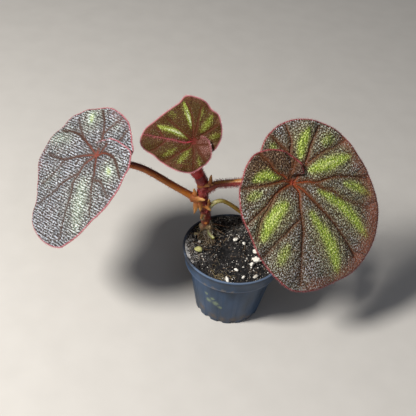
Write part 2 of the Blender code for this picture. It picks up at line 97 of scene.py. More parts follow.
def close_up(thing, angle=40):
    """Leaves edit mode with clean outward faces and smooth shading."""
    bpy.ops.mesh.select_all(action="SELECT")
    bpy.ops.mesh.normals_make_consistent(inside=False)
    bpy.ops.object.mode_set(mode="OBJECT")
    bpy.ops.object.shade_smooth_by_angle(angle=math.radians(angle))


def draw_ring(profile):
    """Pulls the selected open ring through (radius, height) places, from the first to the last."""
    for (radius, height), (wider, higher) in zip(profile, profile[1:]):
        lift = {"value": (0, 0, (higher - height) * MM)}
        bpy.ops.mesh.extrude_edges_move(TRANSFORM_OT_translate=lift)
        bpy.ops.transform.resize(value=(wider / radius, wider / radius, 1))


def apply_modifiers(thing):
    start_fresh()
    bpy.context.view_layer.objects.active = thing
    thing.select_set(True)
    for modifier in list(thing.modifiers):
        bpy.ops.object.modifier_apply(modifier=modifier.name)


def cut(thing, cutter):
    """Takes the cutter out of the thing, then removes the cutter."""
    difference = thing.modifiers.new("Cut", "BOOLEAN")
    difference.operation = "DIFFERENCE"
    difference.object = cutter
    apply_modifiers(thing)
    bpy.data.objects.remove(cutter)


pot_line = [
    (PAD_RADIUS, 0),
    (CHANNEL[0], CHANNEL_RISE),
    (CHANNEL[1], CHANNEL_RISE),
    (FOOT_INNER_RADIUS, 0),
    (BASE_RADIUS - 0.4, 0),
    (BASE_RADIUS, 0.5),
    (BODY_TOP_RADIUS, COLLAR_STEP - 0.3),
    (COLLAR_FOOT_RADIUS, COLLAR_STEP),
    (RIM_RADIUS - 0.4, POT_HEIGHT - 1.1),
    (RIM_RADIUS, POT_HEIGHT - 0.7),
    (RIM_RADIUS, POT_HEIGHT - 0.2),
    (RIM_RADIUS - 0.4, POT_HEIGHT),
    (RIM_RADIUS - 1.0, POT_HEIGHT),
    (RIM_RADIUS - 1.3, POT_HEIGHT - 0.3),
    (COLLAR_FOOT_RADIUS - POT_WALL, COLLAR_STEP + 1.2),
    (BODY_TOP_RADIUS - POT_WALL, COLLAR_STEP + 0.4),
    (BASE_RADIUS - POT_WALL + 0.3, CHANNEL_TOP),
    (CHANNEL[0] - 0.2, CHANNEL_TOP),
    (PAD_RADIUS - 0.4, POT_FLOOR),
]
start_fresh()
bpy.ops.mesh.primitive_circle_add(vertices=POT_SIDES, radius=PAD_RADIUS * MM, fill_type="NGON")
pot = bpy.context.object
pot.name = "nursery_pot"
edit(pot)
bpy.ops.mesh.select_mode(type="EDGE")
bpy.ops.mesh.select_all(action="SELECT")
draw_ring(pot_line)
bpy.ops.mesh.edge_face_add()
close_up(pot)


def drain_hole(angle):
    """A rod through the floor of the drainage channel."""
    reach = sum(CHANNEL) / 2 * MM
    start_fresh()
    bpy.ops.mesh.primitive_cylinder_add(
        vertices=32,
        radius=DRAIN_RADIUS * MM,
        depth=4 * POT_FLOOR * MM,
        location=(reach * math.cos(angle), reach * math.sin(angle), CHANNEL_TOP * MM),
    )
    return bpy.context.object


for index in range(DRAIN_COUNT):
    cut(pot, drain_hole(math.tau * (index + 0.5) / DRAIN_COUNT))


def in_notch(vertex):
    x, y, z = vertex.co / MM
    pitch = 360 / NOTCH_COUNT
    off = abs(math.degrees(math.atan2(y, x)) % pitch - pitch / 2)
    return z < 0.6 and math.hypot(x, y) > FOOT_INNER_RADIUS - 0.1 and off < NOTCH_HALF_ANGLE


edit(pot)
bpy.ops.mesh.select_mode(type="VERT")
pick(pot, "vertices", in_notch)
bpy.ops.transform.translate(value=(0, 0, NOTCH_HEIGHT * MM))
close_up(pot)
soften = pot.modifiers.new("Soften", "BEVEL")
soften.limit_method = "ANGLE"
soften.angle_limit = math.radians(38)
soften.width = 0.22 * MM
soften.segments = 2
apply_modifiers(pot)
bpy.ops.object.shade_smooth_by_angle(angle=math.radians(50))


def tint(colour):
    """An sRGB hex value as linear RGBA."""
    channels = [int(colour[i : i + 2], 16) / 255 for i in (1, 3, 5)]
    return (*[c / 12.92 if c <= 0.04045 else ((c + 0.055) / 1.055) ** 2.4 for c in channels], 1)


def add(tree, kind, sockets=(), stops=(), **settings):
    """Adds a node. Its sockets, named in a dict or else in their own order, are set to values or
    linked to outputs or to nodes' first outputs. Stops are (place, hex colour) pairs."""
    node = tree.nodes.new("ShaderNode" + kind)
    for name, value in settings.items():
        setattr(node, name, value)
    for index, (place, colour) in enumerate(stops):
        ramp = node.color_ramp.elements
        stop = ramp[index] if index < len(ramp) else ramp.new(place)
        stop.position = place
        stop.color = tint(colour)
    for key, value in sockets.items() if isinstance(sockets, dict) else enumerate(sockets):
        if isinstance(value, bpy.types.Node):
            value = value.outputs[0]
        if isinstance(value, bpy.types.NodeSocket):
            tree.links.new(value, node.inputs[key])
        else:
            node.inputs[key].default_value = tint(value) if isinstance(value, str) else value
    return node


def finish(name, **even):
    """A new material, its nodes and its shader, with the settings that are even all over."""
    material = bpy.data.materials.new(name)
    material.use_nodes = True
    shader = material.node_tree.nodes["Principled BSDF"]
    for socket, value in even.items():
        shader.inputs[socket.replace("_", " ")].default_value = value
    return material, material.node_tree, shader


def set_sockets(tree, shader, **sources):
    for socket, source in sources.items():
        tree.links.new(source.outputs[0], shader.inputs[socket.replace("_", " ")])


# Moulded polypropylene: satin, with the mould's soft vertical streaks. Tap water and peat leave
# dust at the foot, lime specks on the side and smears on the collar, all matt on the plastic.
# Marks: (compass angle from -Y towards +X, height, radius of the patch)
POT_DIRT = ((-31, 36.4, 4.0), (-20, 36.4, 4.8), (-9, 36.4, 4.4), (2, 36.4, 3.6))
POT_SOILED = ((-62, 46, 11), (-85, 46, 14), (-115, 46, 16), (-150, 46, 16), (170, 46, 16))
POT_LIME = ((-30, 19.6, 3.4), (-19, 19.0, 3.8), (-24, 22.6, 2.6), (-34, 25, 2.2), (-12, 16, 2.6))
POT_DUST = (
    (-46, 7.9, 6.0), (-24, 5, 6), (-6, 4, 6), (12, 4, 7), (28, 5, 7), (42, 3, 6),
    (150, 8, 9), (215, 16, 7),
)


def near_pot_marks(tree, place, marks):
    """1 at the middle of any of these patches on the pot, and 0 from its radius outwards."""
    found = None
    for angle, height, radius in marks:
        turn = math.radians(angle)
        reach = BASE_RADIUS + (BODY_TOP_RADIUS - BASE_RADIUS) * height / COLLAR_STEP
        reach = COLLAR_FOOT_RADIUS if height > COLLAR_STEP else reach
        spot = (reach * math.sin(turn) * MM, -reach * math.cos(turn) * MM, height * MM)
        away = add(tree, "VectorMath", (place, spot), operation="DISTANCE")
        near = add(tree, "MapRange", (away.outputs["Value"], radius * MM, 0.0))
        found = near if found is None else add(tree, "Math", (found, near), operation="MAXIMUM")
    return found


pot_plastic, tree, shader = finish("moulded_polypropylene", Roughness=0.42, Specular_IOR_Level=0.3)
place = add(tree, "TexCoord").outputs["Object"]
drawn = add(tree, "Mapping", {"Vector": place, "Scale": (1, 1, 0.3)})
streaks = add(tree, "TexNoise", {"Vector": drawn, "Scale": 1 / (6 * MM), "Detail": 1.0})
cloud = add(tree, "TexNoise", {"Vector": place, "Scale": 1 / (14 * MM), "Detail": 4.0})
blend = add(tree, "Math", (streaks, cloud), operation="MULTIPLY")
plastic = add(tree, "ValToRGB", (blend,), [(0.1, "#1e3349"), (0.4, "#2b4769")])
height = add(tree, "SeparateXYZ", {"Vector": place})


def line_round(plastic, hue, strength, *levels):
    """A line round the pot: it fades in between the first two heights and out between the next."""
    start, full, fall, end = (level * MM for level in levels)
    rise = add(tree, "MapRange", (height.outputs["Z"], start, full, 0.0, strength))
    drop = add(tree, "MapRange", (height.outputs["Z"], end, fall))
    amount = add(tree, "Math", (rise, drop), operation="MULTIPLY")
    return add(tree, "MixRGB", (amount, plastic, hue))


# The pale lines on the lip and on the collar's foot are painted highlights, and a thin dark line runs
# round just under the lip. Under the collar lies a dark band of painted shade with some dirt.
plastic = line_round(plastic, "#8494ae", 0.4, 44.5, 44.8, 46, 47)
plastic = line_round(plastic, "#15181f", 0.6, 42.2, 42.7, 43.1, 43.6)
# painted highlight along the collar's foot
plastic = line_round(plastic, "#56647c", 0.7, 35.6, 35.9, 36.4, 36.9)
# painted shade under the collar's overhang, with some dirt in it
plastic = line_round(plastic, "#15171c", 0.9, 31.9, 32.9, 35.5, 35.8)
speck = add(tree, "TexNoise", {"Vector": place, "Scale": 1 / (1.1 * MM), "Detail": 6.0})
coats = []
for marks, hue, low, strength in (
    (POT_DUST, "#75685a", 0.9, 0.65),
    (POT_LIME, "#87957a", 0.78, 0.7),
    (POT_DIRT, "#6c6662", 1.0, 0.9),
    (POT_SOILED, "#262321", 0.7, 0.8),
):
    close = near_pot_marks(tree, place, marks)
    amount = add(tree, "Math", (close, speck), operation="ADD")
    amount = add(tree, "MapRange", (amount, low, low + 0.5, 0.0, strength))
    plastic = add(tree, "MixRGB", (amount, plastic, hue))
    coats.append(amount)
film = add(tree, "MapRange", (cloud, 0.5, 0.8, 0.0, 0.06))
plastic = add(tree, "MixRGB", (film, plastic, "#55585f"))
dull = add(tree, "Math", (coats[0], coats[1]), operation="MAXIMUM")
rough = add(tree, "MapRange", (dull, 0.0, 1.0, 0.42, 0.85))
# Mould grain is near 0.05 mm; it is drawn at 0.35 mm, the finest that shows
grain = add(tree, "TexNoise", {"Vector": place, "Scale": 1 / (0.35 * MM), "Detail": 2.0})
lumps = add(tree, "Math", (grain, dull), operation="ADD")
relief = add(tree, "Bump", {"Height": lumps, "Strength": 0.25, "Distance": 0.08 * MM})
set_sockets(tree, shader, Base_Color=plastic, Roughness=rough, Normal=relief)
pot.data.materials.append(pot_plastic)
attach(pot, "root")
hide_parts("pot")


# Potting soil: black peat with brown and tan fibres, crusted grey along the left edge. It fills
# the pot to 3 mm under the rim, and to the rim behind and on the left, and is sunk in one place.
SOIL_TOP = 41.8
SOIL_RADIUS = 28.1
SOIL_ROUGHNESS = 0.8
SOIL_HOLLOW_CENTRE = (-3.8, -1.6)
SOIL_HOLLOW_RADIUS = 6.0
SOIL_HOLLOW_DEPTH = 2.6
SOIL_BANK_SIDE = (-0.5, 0.87)
SOIL_BANK_START = 19.0
SOIL_BANK_WIDTH = 8.0
SOIL_BANK_HEIGHT = 3.0
SOIL_SQUARES = 150
CRUST_CENTRE = (-29.0, -5.0)
BANK_CENTRE = (0.0, 25.0)
MOSS_CENTRE = (-7.0, -22.5)
COARSE_CRUMB = 2.1
FINE_CRUMB = 0.95


def smooth(value):
    """0 up to 0, 1 from 1 on, and an even rise between."""
    value = np.clip(value, 0, 1)
    return value * value * (3 - 2 * value)


def soil_bank(x, y):
    """How far the soil is banked up against the rim."""
    radius = math.hypot(x, y)
    aside = (x * SOIL_BANK_SIDE[0] + y * SOIL_BANK_SIDE[1]) / max(radius, 1)
    outwards = smooth((radius - SOIL_BANK_START) / SOIL_BANK_WIDTH)
    return SOIL_BANK_HEIGHT * outwards * smooth((aside + 0.55) / 0.9)


def soil_height(x, y):
    """The level of the soil without its crumbs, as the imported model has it."""
    rough = noise.noise(Vector((x, y, 0)) / 6) + 0.5 * noise.noise(Vector((x, y, 9)) / 2.5)
    off = math.dist((x, y), SOIL_HOLLOW_CENTRE) / SOIL_HOLLOW_RADIUS
    hollow = SOIL_HOLLOW_DEPTH * math.exp(-off * off)
    return SOIL_TOP + SOIL_ROUGHNESS * rough + soil_bank(x, y) - hollow


def crumb_height(x, y):
    """Crumbs of peat 1 to 2 mm across, which the watering has worn away in the hollow."""
    off = math.dist((x, y), SOIL_HOLLOW_CENTRE) / (1.5 * SOIL_HOLLOW_RADIUS)
    worn = 1 - 0.75 * math.exp(-off * off)
    coarse = noise.voronoi(Vector((x, y, 3)) / COARSE_CRUMB)[0]
    fine = noise.voronoi(Vector((x, y, 7)) / FINE_CRUMB)[0]
    return worn * (0.95 * (coarse[1] - coarse[0]) + 0.4 * (fine[1] - fine[0]) - 0.35)


start_fresh()
bpy.ops.mesh.primitive_grid_add(
    x_subdivisions=SOIL_SQUARES, y_subdivisions=SOIL_SQUARES, size=2
)
soil = bpy.context.object
soil.name = "peat_soil"
for vertex in soil.data.vertices:
    # The square grid is rounded to a disc, so that its squares stay even
    x, y, _ = vertex.co
    x, y = x * math.sqrt(1 - y * y / 2), y * math.sqrt(1 - x * x / 2)
    edge = math.hypot(x, y)
    x, y = x * SOIL_RADIUS, y * SOIL_RADIUS
    level = soil_height(x, y) + crumb_height(x, y) * (1 - edge**30)
    # The pot widens a little up to the bank's level
    wider = 1 + 0.17 * soil_bank(x, y) / SOIL_RADIUS
    x, y = x * wider, y * wider
    vertex.co = Vector((x, y, level)) * MM
edit(soil)
bpy.ops.mesh.select_mode(type="EDGE")
bpy.ops.mesh.select_non_manifold()
# The top's wavy edge goes down to a level ring, and the rings from there follow the pot
bpy.ops.mesh.extrude_edges_move()
bpy.ops.transform.resize(
    value=(0.95, 0.95, 0), center_override=(0, 0, (COLLAR_STEP + 1.5) * MM)
)
draw_ring(
    [
        (0.95 * SOIL_RADIUS, COLLAR_STEP + 1.5),
        (BODY_TOP_RADIUS - POT_WALL - 0.35, COLLAR_STEP + 0.7),
        (BASE_RADIUS - POT_WALL - 0.05, CHANNEL_TOP + 0.3),
        (CHANNEL[0] - 0.55, CHANNEL_TOP + 0.3),
        (PAD_RADIUS - 0.75, POT_FLOOR + 0.3),
    ]
)
bpy.ops.mesh.edge_face_add()
close_up(soil, 180)

peat, tree, shader = finish("damp_peat", Roughness=0.95, Specular_IOR_Level=0.25)
place = add(tree, "TexCoord").outputs["Object"]
clump = add(tree, "TexNoise", {"Vector": place, "Scale": 1 / (2.2 * MM), "Detail": 8.0})
earth = add(tree, "ValToRGB", (clump,), [(0.35, "#101012"), (0.52, "#1e1e20"), (0.68, "#343131")])
bits = add(tree, "TexVoronoi", {"Vector": place, "Scale": 1 / (0.85 * MM)})
shade = add(tree, "SeparateColor", {"Color": bits.outputs["Color"]})
tan = add(tree, "MapRange", (shade, 0.95, 0.97, 0.0, 0.5))
earth = add(tree, "MixRGB", (tan, earth, "#8b7a68"))
gritty = add(tree, "TexNoise", {"Vector": place, "Scale": 1 / (0.5 * MM), "Detail": 5.0})
for centre, reach, hue, strength in (
    (CRUST_CENTRE, 17, "#c4c4c4", 0.95),
    (MOSS_CENTRE, 6, "#4f482e", 0.35),
    (BANK_CENTRE, 15, "#858380", 0.6),
):
    middle = (centre[0] * MM, centre[1] * MM, SOIL_TOP * MM)
    away = add(tree, "VectorMath", (place, middle), operation="DISTANCE")
    near = add(tree, "MapRange", (away.outputs["Value"], reach * MM, 0.0))
    patchy = add(tree, "Math", (near, clump), operation="ADD")
    patchy = add(tree, "Math", (gritty, 1.6, patchy), operation="MULTIPLY_ADD")
    amount = add(tree, "MapRange", (patchy, 1.6, 2.1, 0.0, strength))
    earth = add(tree, "MixRGB", (amount, earth, hue))
relief = add(tree, "Bump", {"Height": gritty, "Strength": 0.7, "Distance": 0.35 * MM})
set_sockets(tree, shader, Base_Color=earth, Normal=relief)
soil.data.materials.append(peat)
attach(soil, "root")
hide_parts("soil")


# Perlite, one mossy stone and a bark chip lie on the soil, half washed in. Perlite is volcanic
# glass puffed to a white foam, so it is chalky and pitted.
LOOSE_BITS = (
    ("perlite_01", 1, "white", (3.3, 3.0, 2.2)),
    ("perlite_02", 2, "white", (5.0, 4.0, 3.2)),
    ("perlite_03", 3, "white", (3.3, 2.2, 2.0)),
    ("perlite_04", 4, "white", (3.4, 2.5, 1.6)),
    ("perlite_05", 5, "white", (2.1, 1.9, 1.5)),
    ("perlite_06", 6, "white", (2.9, 1.6, 1.4)),
    ("perlite_07", 7, "white", (2.6, 1.5, 1.4)),
    ("perlite_08", 8, "white", (3.4, 1.8, 1.4)),
    ("perlite_09", 9, "white", (2.1, 1.7, 1.3)),
    ("perlite_10", 10, "white", (4.4, 1.9, 1.5)),
    ("rock_chunk", 31, "moss", (4.6, 4.0, 2.4)),
    ("bark_chip", 32, "bark", (3.0, 2.0, 1.2)),
)


def mineral(name, low, high, patch):
    """A chalky, pitted solid in two tones with patches of a third."""
    material, tree, shader = finish(name, Roughness=0.9, Specular_IOR_Level=0.3)
    place = add(tree, "TexCoord").outputs["Object"]
    cells = add(tree, "TexNoise", {"Vector": place, "Scale": 1 / (0.7 * MM), "Detail": 5.0})
    body = add(tree, "ValToRGB", (cells,), [(0.3, low), (0.6, high)])
    spread = add(tree, "TexNoise", {"Vector": place, "Scale": 1 / (1.9 * MM), "Detail": 3.0})
    amount = add(tree, "MapRange", (spread, 0.52, 0.66, 0.0, 0.8))
    body = add(tree, "MixRGB", (amount, body, patch))
    pits = add(tree, "TexVoronoi", {"Vector": place, "Scale": 1 / (0.45 * MM)})
    relief = add(tree, "Bump", {"Height": pits, "Strength": 0.6, "Distance": 0.15 * MM})
    set_sockets(tree, shader, Base_Color=body, Normal=relief)
    return material


BIT_FINISHES = {
    "white": (mineral("expanded_perlite", "#cfcdc6", "#f3f1ea", "#b9b2a4"), "perlite"),
    "moss": (mineral("moss_grown_stone", "#9a9b62", "#c9c98a", "#6d6f3f"), "mossy_stone"),
    "bark": (mineral("composted_bark", "#8d7c58", "#b3a582", "#6a5638"), "bark"),
}
for node, seed, kind, sizes in LOOSE_BITS:
    start_fresh()
    bpy.ops.mesh.primitive_ico_sphere_add(subdivisions=5, radius=0.5)
    bit = bpy.context.object
    bit.name = node.replace("perlite", "perlite_grain") if kind == "white" else node + "_piece"
    turn = Matrix.Rotation(random.Random(seed).uniform(0, math.pi), 3, "Z")
    stretch = turn @ Matrix.Diagonal(sizes)
    shift = Vector((seed, 0, 0))
    for vertex in bit.data.vertices:
        at = vertex.co.copy()
        swell = 1 + 0.3 * noise.noise(at * 3 + shift)
        facets = noise.voronoi(at * 4.5 + shift)[0]
        swell += 0.16 * (facets[1] - facets[0]) - 0.07
        swell += 0.05 * noise.noise(at * 14 + shift)
        vertex.co = stretch @ (at * swell) * MM
    low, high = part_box(node)
    bit.data.transform(Matrix.Translation((low + high) / 2))
    bpy.ops.object.shade_smooth_by_angle(angle=math.radians(60))
    skin, slot = BIT_FINISHES[kind]
    bit.data.materials.append(skin)
    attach(bit, "root")
    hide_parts(node)


# Crumbs and strands in the top of the soil: peat, bark dust and perlite dust, with dead roots
# and sphagnum strands that the watering has floated out. Each is pressed into the surface.


def note(thing, **numbers):
    """Stores numbers or vectors, one for each point of a mesh, for its material to read."""
    for name, values in numbers.items():
        values = np.asarray(values, np.float32)
        kind, key = ("FLOAT_VECTOR", "vector") if values.ndim == 2 else ("FLOAT", "value")
        layer = thing.data.attributes.new(name, kind, "POINT")
        layer.data.foreach_set(key, values.ravel())


def scatter(name, model, axes, places, **numbers):
    """One mesh with a copy of the model at each place; axes are each copy's own x, y and z."""
    shape = np.array([vertex.co for vertex in model.data.vertices])
    spots = np.einsum("vk,nkj->nvj", shape, axes) + places[:, None, :]
    faces = [tuple(face.vertices) for face in model.data.polygons]
    count = len(shape)
    copies = [tuple(c + n * count for c in face) for n in range(len(places)) for face in faces]
    mesh = bpy.data.meshes.new(name)
    mesh.from_pydata((spots.reshape(-1, 3) * MM).tolist(), [], copies)
    thing = bpy.data.objects.new(name, mesh)
    bpy.context.scene.collection.objects.link(thing)
    reach = shape[:, 2] / max(shape[:, 2].max(), 1e-9)
    note(thing, **{key: np.repeat(values, count) for key, values in numbers.items()})
    note(thing, along=np.tile(reach, len(places)))
    bpy.data.objects.remove(model)
    start_fresh()
    thing.select_set(True)
    bpy.context.view_layer.objects.active = thing
    bpy.ops.object.shade_smooth_by_angle(angle=math.radians(50))
    return thing


def crumb_model(seed):
    start_fresh()
    bpy.ops.mesh.primitive_ico_sphere_add(subdivisions=1, radius=0.5)
    model = bpy.context.object
    for vertex in model.data.vertices:
        vertex.co *= 1 + 0.7 * noise.noise(vertex.co * 2.3 + Vector((seed, 4, 0)))
    return model


def on_soil(draw, middle, spread):
    """A place on the soil, spread evenly over it or bunched round a middle."""
    while True:
        if middle:
            x, y = (draw.gauss(at, spread) for at in middle)
        else:
            x, y = (draw.uniform(-SOIL_RADIUS, SOIL_RADIUS) for _ in range(2))
        worn = math.dist((x, y), SOIL_HOLLOW_CENTRE) < SOIL_HOLLOW_RADIUS and draw.random() < 0.8
        if math.hypot(x, y) < SOIL_RADIUS - 0.8 and not worn:
            return x, y


def crumbs(name, seed, count, sizes, tones, middle=None, spread=0):
    draw = random.Random(seed)
    axes, places, shades = [], [], []
    for _ in range(count):
        x, y = on_soil(draw, middle, spread)
        size = draw.uniform(*sizes) * draw.uniform(0.6, 1)
        turn = np.array(Matrix.Rotation(draw.uniform(0, math.tau), 3, "Z")).T
        stretch = np.diag([1, draw.uniform(0.5, 1), draw.uniform(0.4, 0.8)])
        axes.append(size * stretch @ turn)
        level = soil_height(x, y) + max(crumb_height(x, y), -0.1)
        places.append((x, y, level + 0.12 * size))
        shades.append(draw.uniform(*tones))
    return scatter(name, crumb_model(seed), np.array(axes), np.array(places), tone=shades)


crumb_mix, tree, shader = finish("peat_and_perlite_crumbs", Roughness=0.95)
tone = add(tree, "Attribute", attribute_name="tone").outputs["Fac"]
body = add(
    tree,
    "ValToRGB",
    (tone,),
    [(0.0, "#0d0d0f"), (0.5, "#272526"), (0.72, "#6e665e"), (0.88, "#a8a29a"), (0.95, "#f1efe9")],
)
place = add(tree, "TexCoord").outputs["Object"]
grit = add(tree, "TexNoise", {"Vector": place, "Scale": 1 / (0.4 * MM), "Detail": 3.0})
grime = add(tree, "Math", (grit, 0.35), operation="MULTIPLY")
body = add(tree, "MixRGB", (grime, body, "#2a2420"))
relief = add(tree, "Bump", {"Height": grit, "Strength": 0.5, "Distance": 0.1 * MM})
set_sockets(tree, shader, Base_Color=body, Normal=relief)
for name, seed, count, sizes, tones, middle, spread in (
    ("soil_crumbs", 5, 1100, (0.5, 1.9), (0.0, 0.56), None, 0),
    ("perlite_dust", 6, 320, (0.3, 0.8), (0.88, 1.0), None, 0),
    ("perlite_dust_right", 7, 70, (0.4, 1.4), (0.9, 1.0), (13, -9), 7),
    ("rim_litter", 8, 30, (0.6, 1.6), (0.8, 1.0), (-2, -25.5), 2.0),
    ("crust_crumbs", 9, 420, (0.4, 1.4), (0.45, 0.97), (-24, -3), 5.0),
    ("bank_crumbs", 10, 260, (0.5, 1.4), (0.5, 1.0), (-1, 21), 7.0),
):
    thing = crumbs(name, seed, count, sizes, tones, middle, spread)
    thing.data.materials.append(crumb_mix)
    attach(thing, "root")


def strand_model(bend, sides=4, steps=6):
    """A tapered strand one long along Z and one in radius, bent twice."""
    start_fresh()
    bpy.ops.mesh.primitive_circle_add(vertices=sides, radius=1, fill_type="NGON")
    model = bpy.context.object
    edit(model)
    bpy.ops.mesh.select_all(action="SELECT")
    for step in range(steps):
        sway = bend * math.cos(math.pi * 2 * step / steps)
        bpy.ops.mesh.extrude_region_move(TRANSFORM_OT_translate={"value": (sway, 0, 1 / steps)})
        bpy.ops.transform.resize(value=(0.82, 0.82, 1))
    close_up(model)
    return model


def lay(run, widths, seed):
    """The axes of strands that run along the given vectors, each turned about itself at random."""
    side = np.cross(run, np.random.default_rng(seed).normal(size=run.shape))
    side /= np.linalg.norm(side, axis=1, keepdims=True)
    across = np.cross(run, side) / np.linalg.norm(run, axis=1, keepdims=True)
    return np.stack([side * widths[:, None], across * widths[:, None], run], 1)


def run_on_soil(x, y, length, heading, rim, rise):
    """A vector along the soil that stops short of the pot's rim, its end a rise above the soil."""
    far_x, far_y = x + length * math.cos(heading), y + length * math.sin(heading)
    kept = min(1, rim / math.hypot(far_x, far_y))
    far_x, far_y = far_x * kept, far_y * kept
    return far_x - x, far_y - y, soil_height(far_x, far_y) + rise


def soil_strands(name, seed, count, lengths, width, rise, tones, middle=None, spread=0):
    """Loose strands that lie on the soil and rise a little at one end."""
    draw = random.Random(seed)
    starts, runs, shades = [], [], []
    for _ in range(count):
        x, y = on_soil(draw, middle, spread)
        heading, length = draw.uniform(0, math.tau), draw.uniform(*lengths)
        level = soil_height(x, y) + 0.15
        run = run_on_soil(x, y, length, heading, SOIL_RADIUS - 0.8, draw.uniform(0.1, rise))
        starts.append((x, y, level))
        runs.append((*run[:2], run[2] - level))
        shades.append(draw.uniform(*tones))
    axes = lay(np.array(runs), np.full(count, width), seed)
    return scatter(name, strand_model(2.5), axes, np.array(starts), tone=shades)


dry_strands, tree, shader = finish("dry_roots_and_moss", Roughness=0.8)
tone = add(tree, "Attribute", attribute_name="tone").outputs["Fac"]
body = add(
    tree,
    "ValToRGB",
    (tone,),
    [(0.0, "#4a3526"), (0.3, "#9a7c5c"), (0.5, "#b8a280"), (0.7, "#6f6c3c"), (1.0, "#d8cfc0")],
)
place = add(tree, "TexCoord").outputs["Object"]
mottle = add(tree, "TexNoise", {"Vector": place, "Scale": 1 / (0.8 * MM), "Detail": 3.0})
mottle = add(tree, "Math", (mottle, 0.6), operation="MULTIPLY")
body = add(tree, "MixRGB", (mottle, body, "#5d4a38"))
set_sockets(tree, shader, Base_Color=body)
for name, seed, count, lengths, width, rise, tones, middle, spread in (
    ("dead_roots", 21, 70, (2.5, 7.0), 0.1, 0.8, (0.0, 0.4), None, 0),
    ("front_moss", 22, 45, (1.6, 4.5), 0.12, 1.0, (0.5, 0.7), MOSS_CENTRE, 4.0),
    ("foot_litter", 23, 120, (2.0, 6.0), 0.13, 2.6, (0.1, 0.6), (-17, 8), 3.8),
    ("white_roots", 24, 15, (2.0, 5.0), 0.26, 1.6, (0.9, 1.0), (-16, 9), 4.5),
):
    thing = soil_strands(name, seed, count, lengths, width, rise, tones, middle, spread)
    thing.data.materials.append(dry_strands)
    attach(thing, "root")


# Stem: a short fleshy rhizome, wine red and hairy, with rings where old leaves came off. Its foot
# is brown and lumpy and sits in a hole in the soil, where the first pale roots push out.
STEM_ROUTE = (
    (-13.5, 11.5, 25, 2.2),
    (-15, 12.6, 34, 2.4),
    (-16.6, 14, 42.3, 2.5),
    (-18, 13, 51, 2.6),
    (-18.4, 11.8, 59, 2.9),
    (-20.4, 11, 66, 3.4),
    (-21.3, 9.8, 74, 3.3),
    (-21.3, 9, 82, 3.2),
    (-23, 8.6, 87, 3.3),
    (-24.4, 8, 90.2, 3.3),
)
STEM_LUMPS = (
    (-19.4, 11.2, 48.4, 1.9),
    (-15.6, 10.6, 49.2, 1.5),
    (-19.6, 11.6, 45.4, 1.2),
    (-20.2, 14.2, 47.4, 1.5),
    (-20.2, 10.4, 56.4, 1.5),
    (-19.6, 10.1, 59.9, 1.3),
    (-16.4, 10.2, 57.6, 1.0),
    (-17.6, 8.6, 63.2, 1.2),
    (-23.0, 7.6, 70.2, 1.1),
    (-18.9, 7.4, 80.2, 1.2),
)
STEM_RINGS = (52.5, 57.0, 61.5, 65.0, 69.0, 73.0, 77.5, 81.5, 85.0)
STEM_VOXEL = 0.33
STEM_BUD = (-17.6, 10.2, 52.7, 0.9)
ROOTS = (
    ((-16, 13, 49.5), (-11, 14.5, 48.6), (-6.5, 16.5, 46), (-3.4, 18.5, 44.1)),
    ((-16, 12.5, 48), (-11.5, 11.8, 47.2), (-8, 11.4, 45.6), (-5.6, 11.2, 44.1)),
    ((-17.5, 12.5, 47.4), (-20.5, 9.5, 46.4), (-21.6, 6.4, 45.5), (-21.8, 4.6, 44.6)),
)
ROOT_RADIUS = 0.45


def smooth_route(points, steps):
    """A smooth curve through the given points, with all their numbers, by Catmull-Rom pieces."""
    points = np.array(points, float)
    whole = np.vstack([2 * points[0] - points[1], points, 2 * points[-1] - points[-2]])
    t = np.arange(steps)[:, None] / steps
    line = []
    for before, start, end, after in zip(whole, whole[1:], whole[2:], whole[3:]):
        line.append(
            start
            + 0.5 * t * (end - before)
            + t**2 * (before - 2.5 * start + 2 * end - 0.5 * after)
            + t**3 * (1.5 * (start - end) + 0.5 * (after - before))
        )
    return np.vstack([*line, points[-1:]])


def travel_along(line):
    """How far along a line each of its points is."""
    return np.concatenate([[0], np.cumsum(np.linalg.norm(np.diff(line, axis=0), axis=1))])


def tube(name, route, sides=24):
    """A closed round tube along (x, y, z, radius) points, alone selected."""
    curve = bpy.data.curves.new(name, "CURVE")
    curve.dimensions = "3D"
    curve.bevel_depth = MM
    curve.bevel_resolution = (sides - 4) // 2
    curve.use_fill_caps = True
    spline = curve.splines.new("POLY")
    spline.points.add(len(route) - 1)
    for point, (x, y, z, radius) in zip(spline.points, route):
        point.co = (x * MM, y * MM, z * MM, 1)
        point.radius = radius
    thing = bpy.data.objects.new(name, curve)
    bpy.context.scene.collection.objects.link(thing)
    start_fresh()
    bpy.context.view_layer.objects.active = thing
    thing.select_set(True)
    bpy.ops.object.convert(target="MESH")
    thing = bpy.context.object
    edit(thing)
    bpy.ops.mesh.select_all(action="SELECT")
    bpy.ops.mesh.remove_doubles(threshold=0.002 * MM)
    close_up(thing, 60)
    return thing


def join(things):
    start_fresh()
    for thing in things:
        thing.select_set(True)
    bpy.context.view_layer.objects.active = things[0]
    bpy.ops.object.join()
    return things[0]


def points_of(thing):
    """A mesh's points in millimetres and its point normals, as two arrays."""
    count = len(thing.data.vertices)
    spots, normals = np.empty(3 * count), np.empty(3 * count)
    thing.data.vertices.foreach_get("co", spots)
    thing.data.vertex_normals.foreach_get("vector", normals)
    return spots.reshape(-1, 3) / MM, normals.reshape(-1, 3)


def move_points(thing, spots):
    thing.data.vertices.foreach_set("co", (spots * MM).ravel())
    thing.data.update()


def nearest(spots, targets, count=1):
    """How far each spot is from its closest targets, and which they are: two (spot, rank) arrays."""
    tree = kdtree.KDTree(len(targets))
    for index, target in enumerate(targets):
        tree.insert(target, index)
    tree.balance()
    found = [tree.find_n(spot, count) for spot in spots]
    distance = np.array([[hit[2] for hit in hits] for hits in found])
    return distance, np.array([[hit[1] for hit in hits] for hits in found])


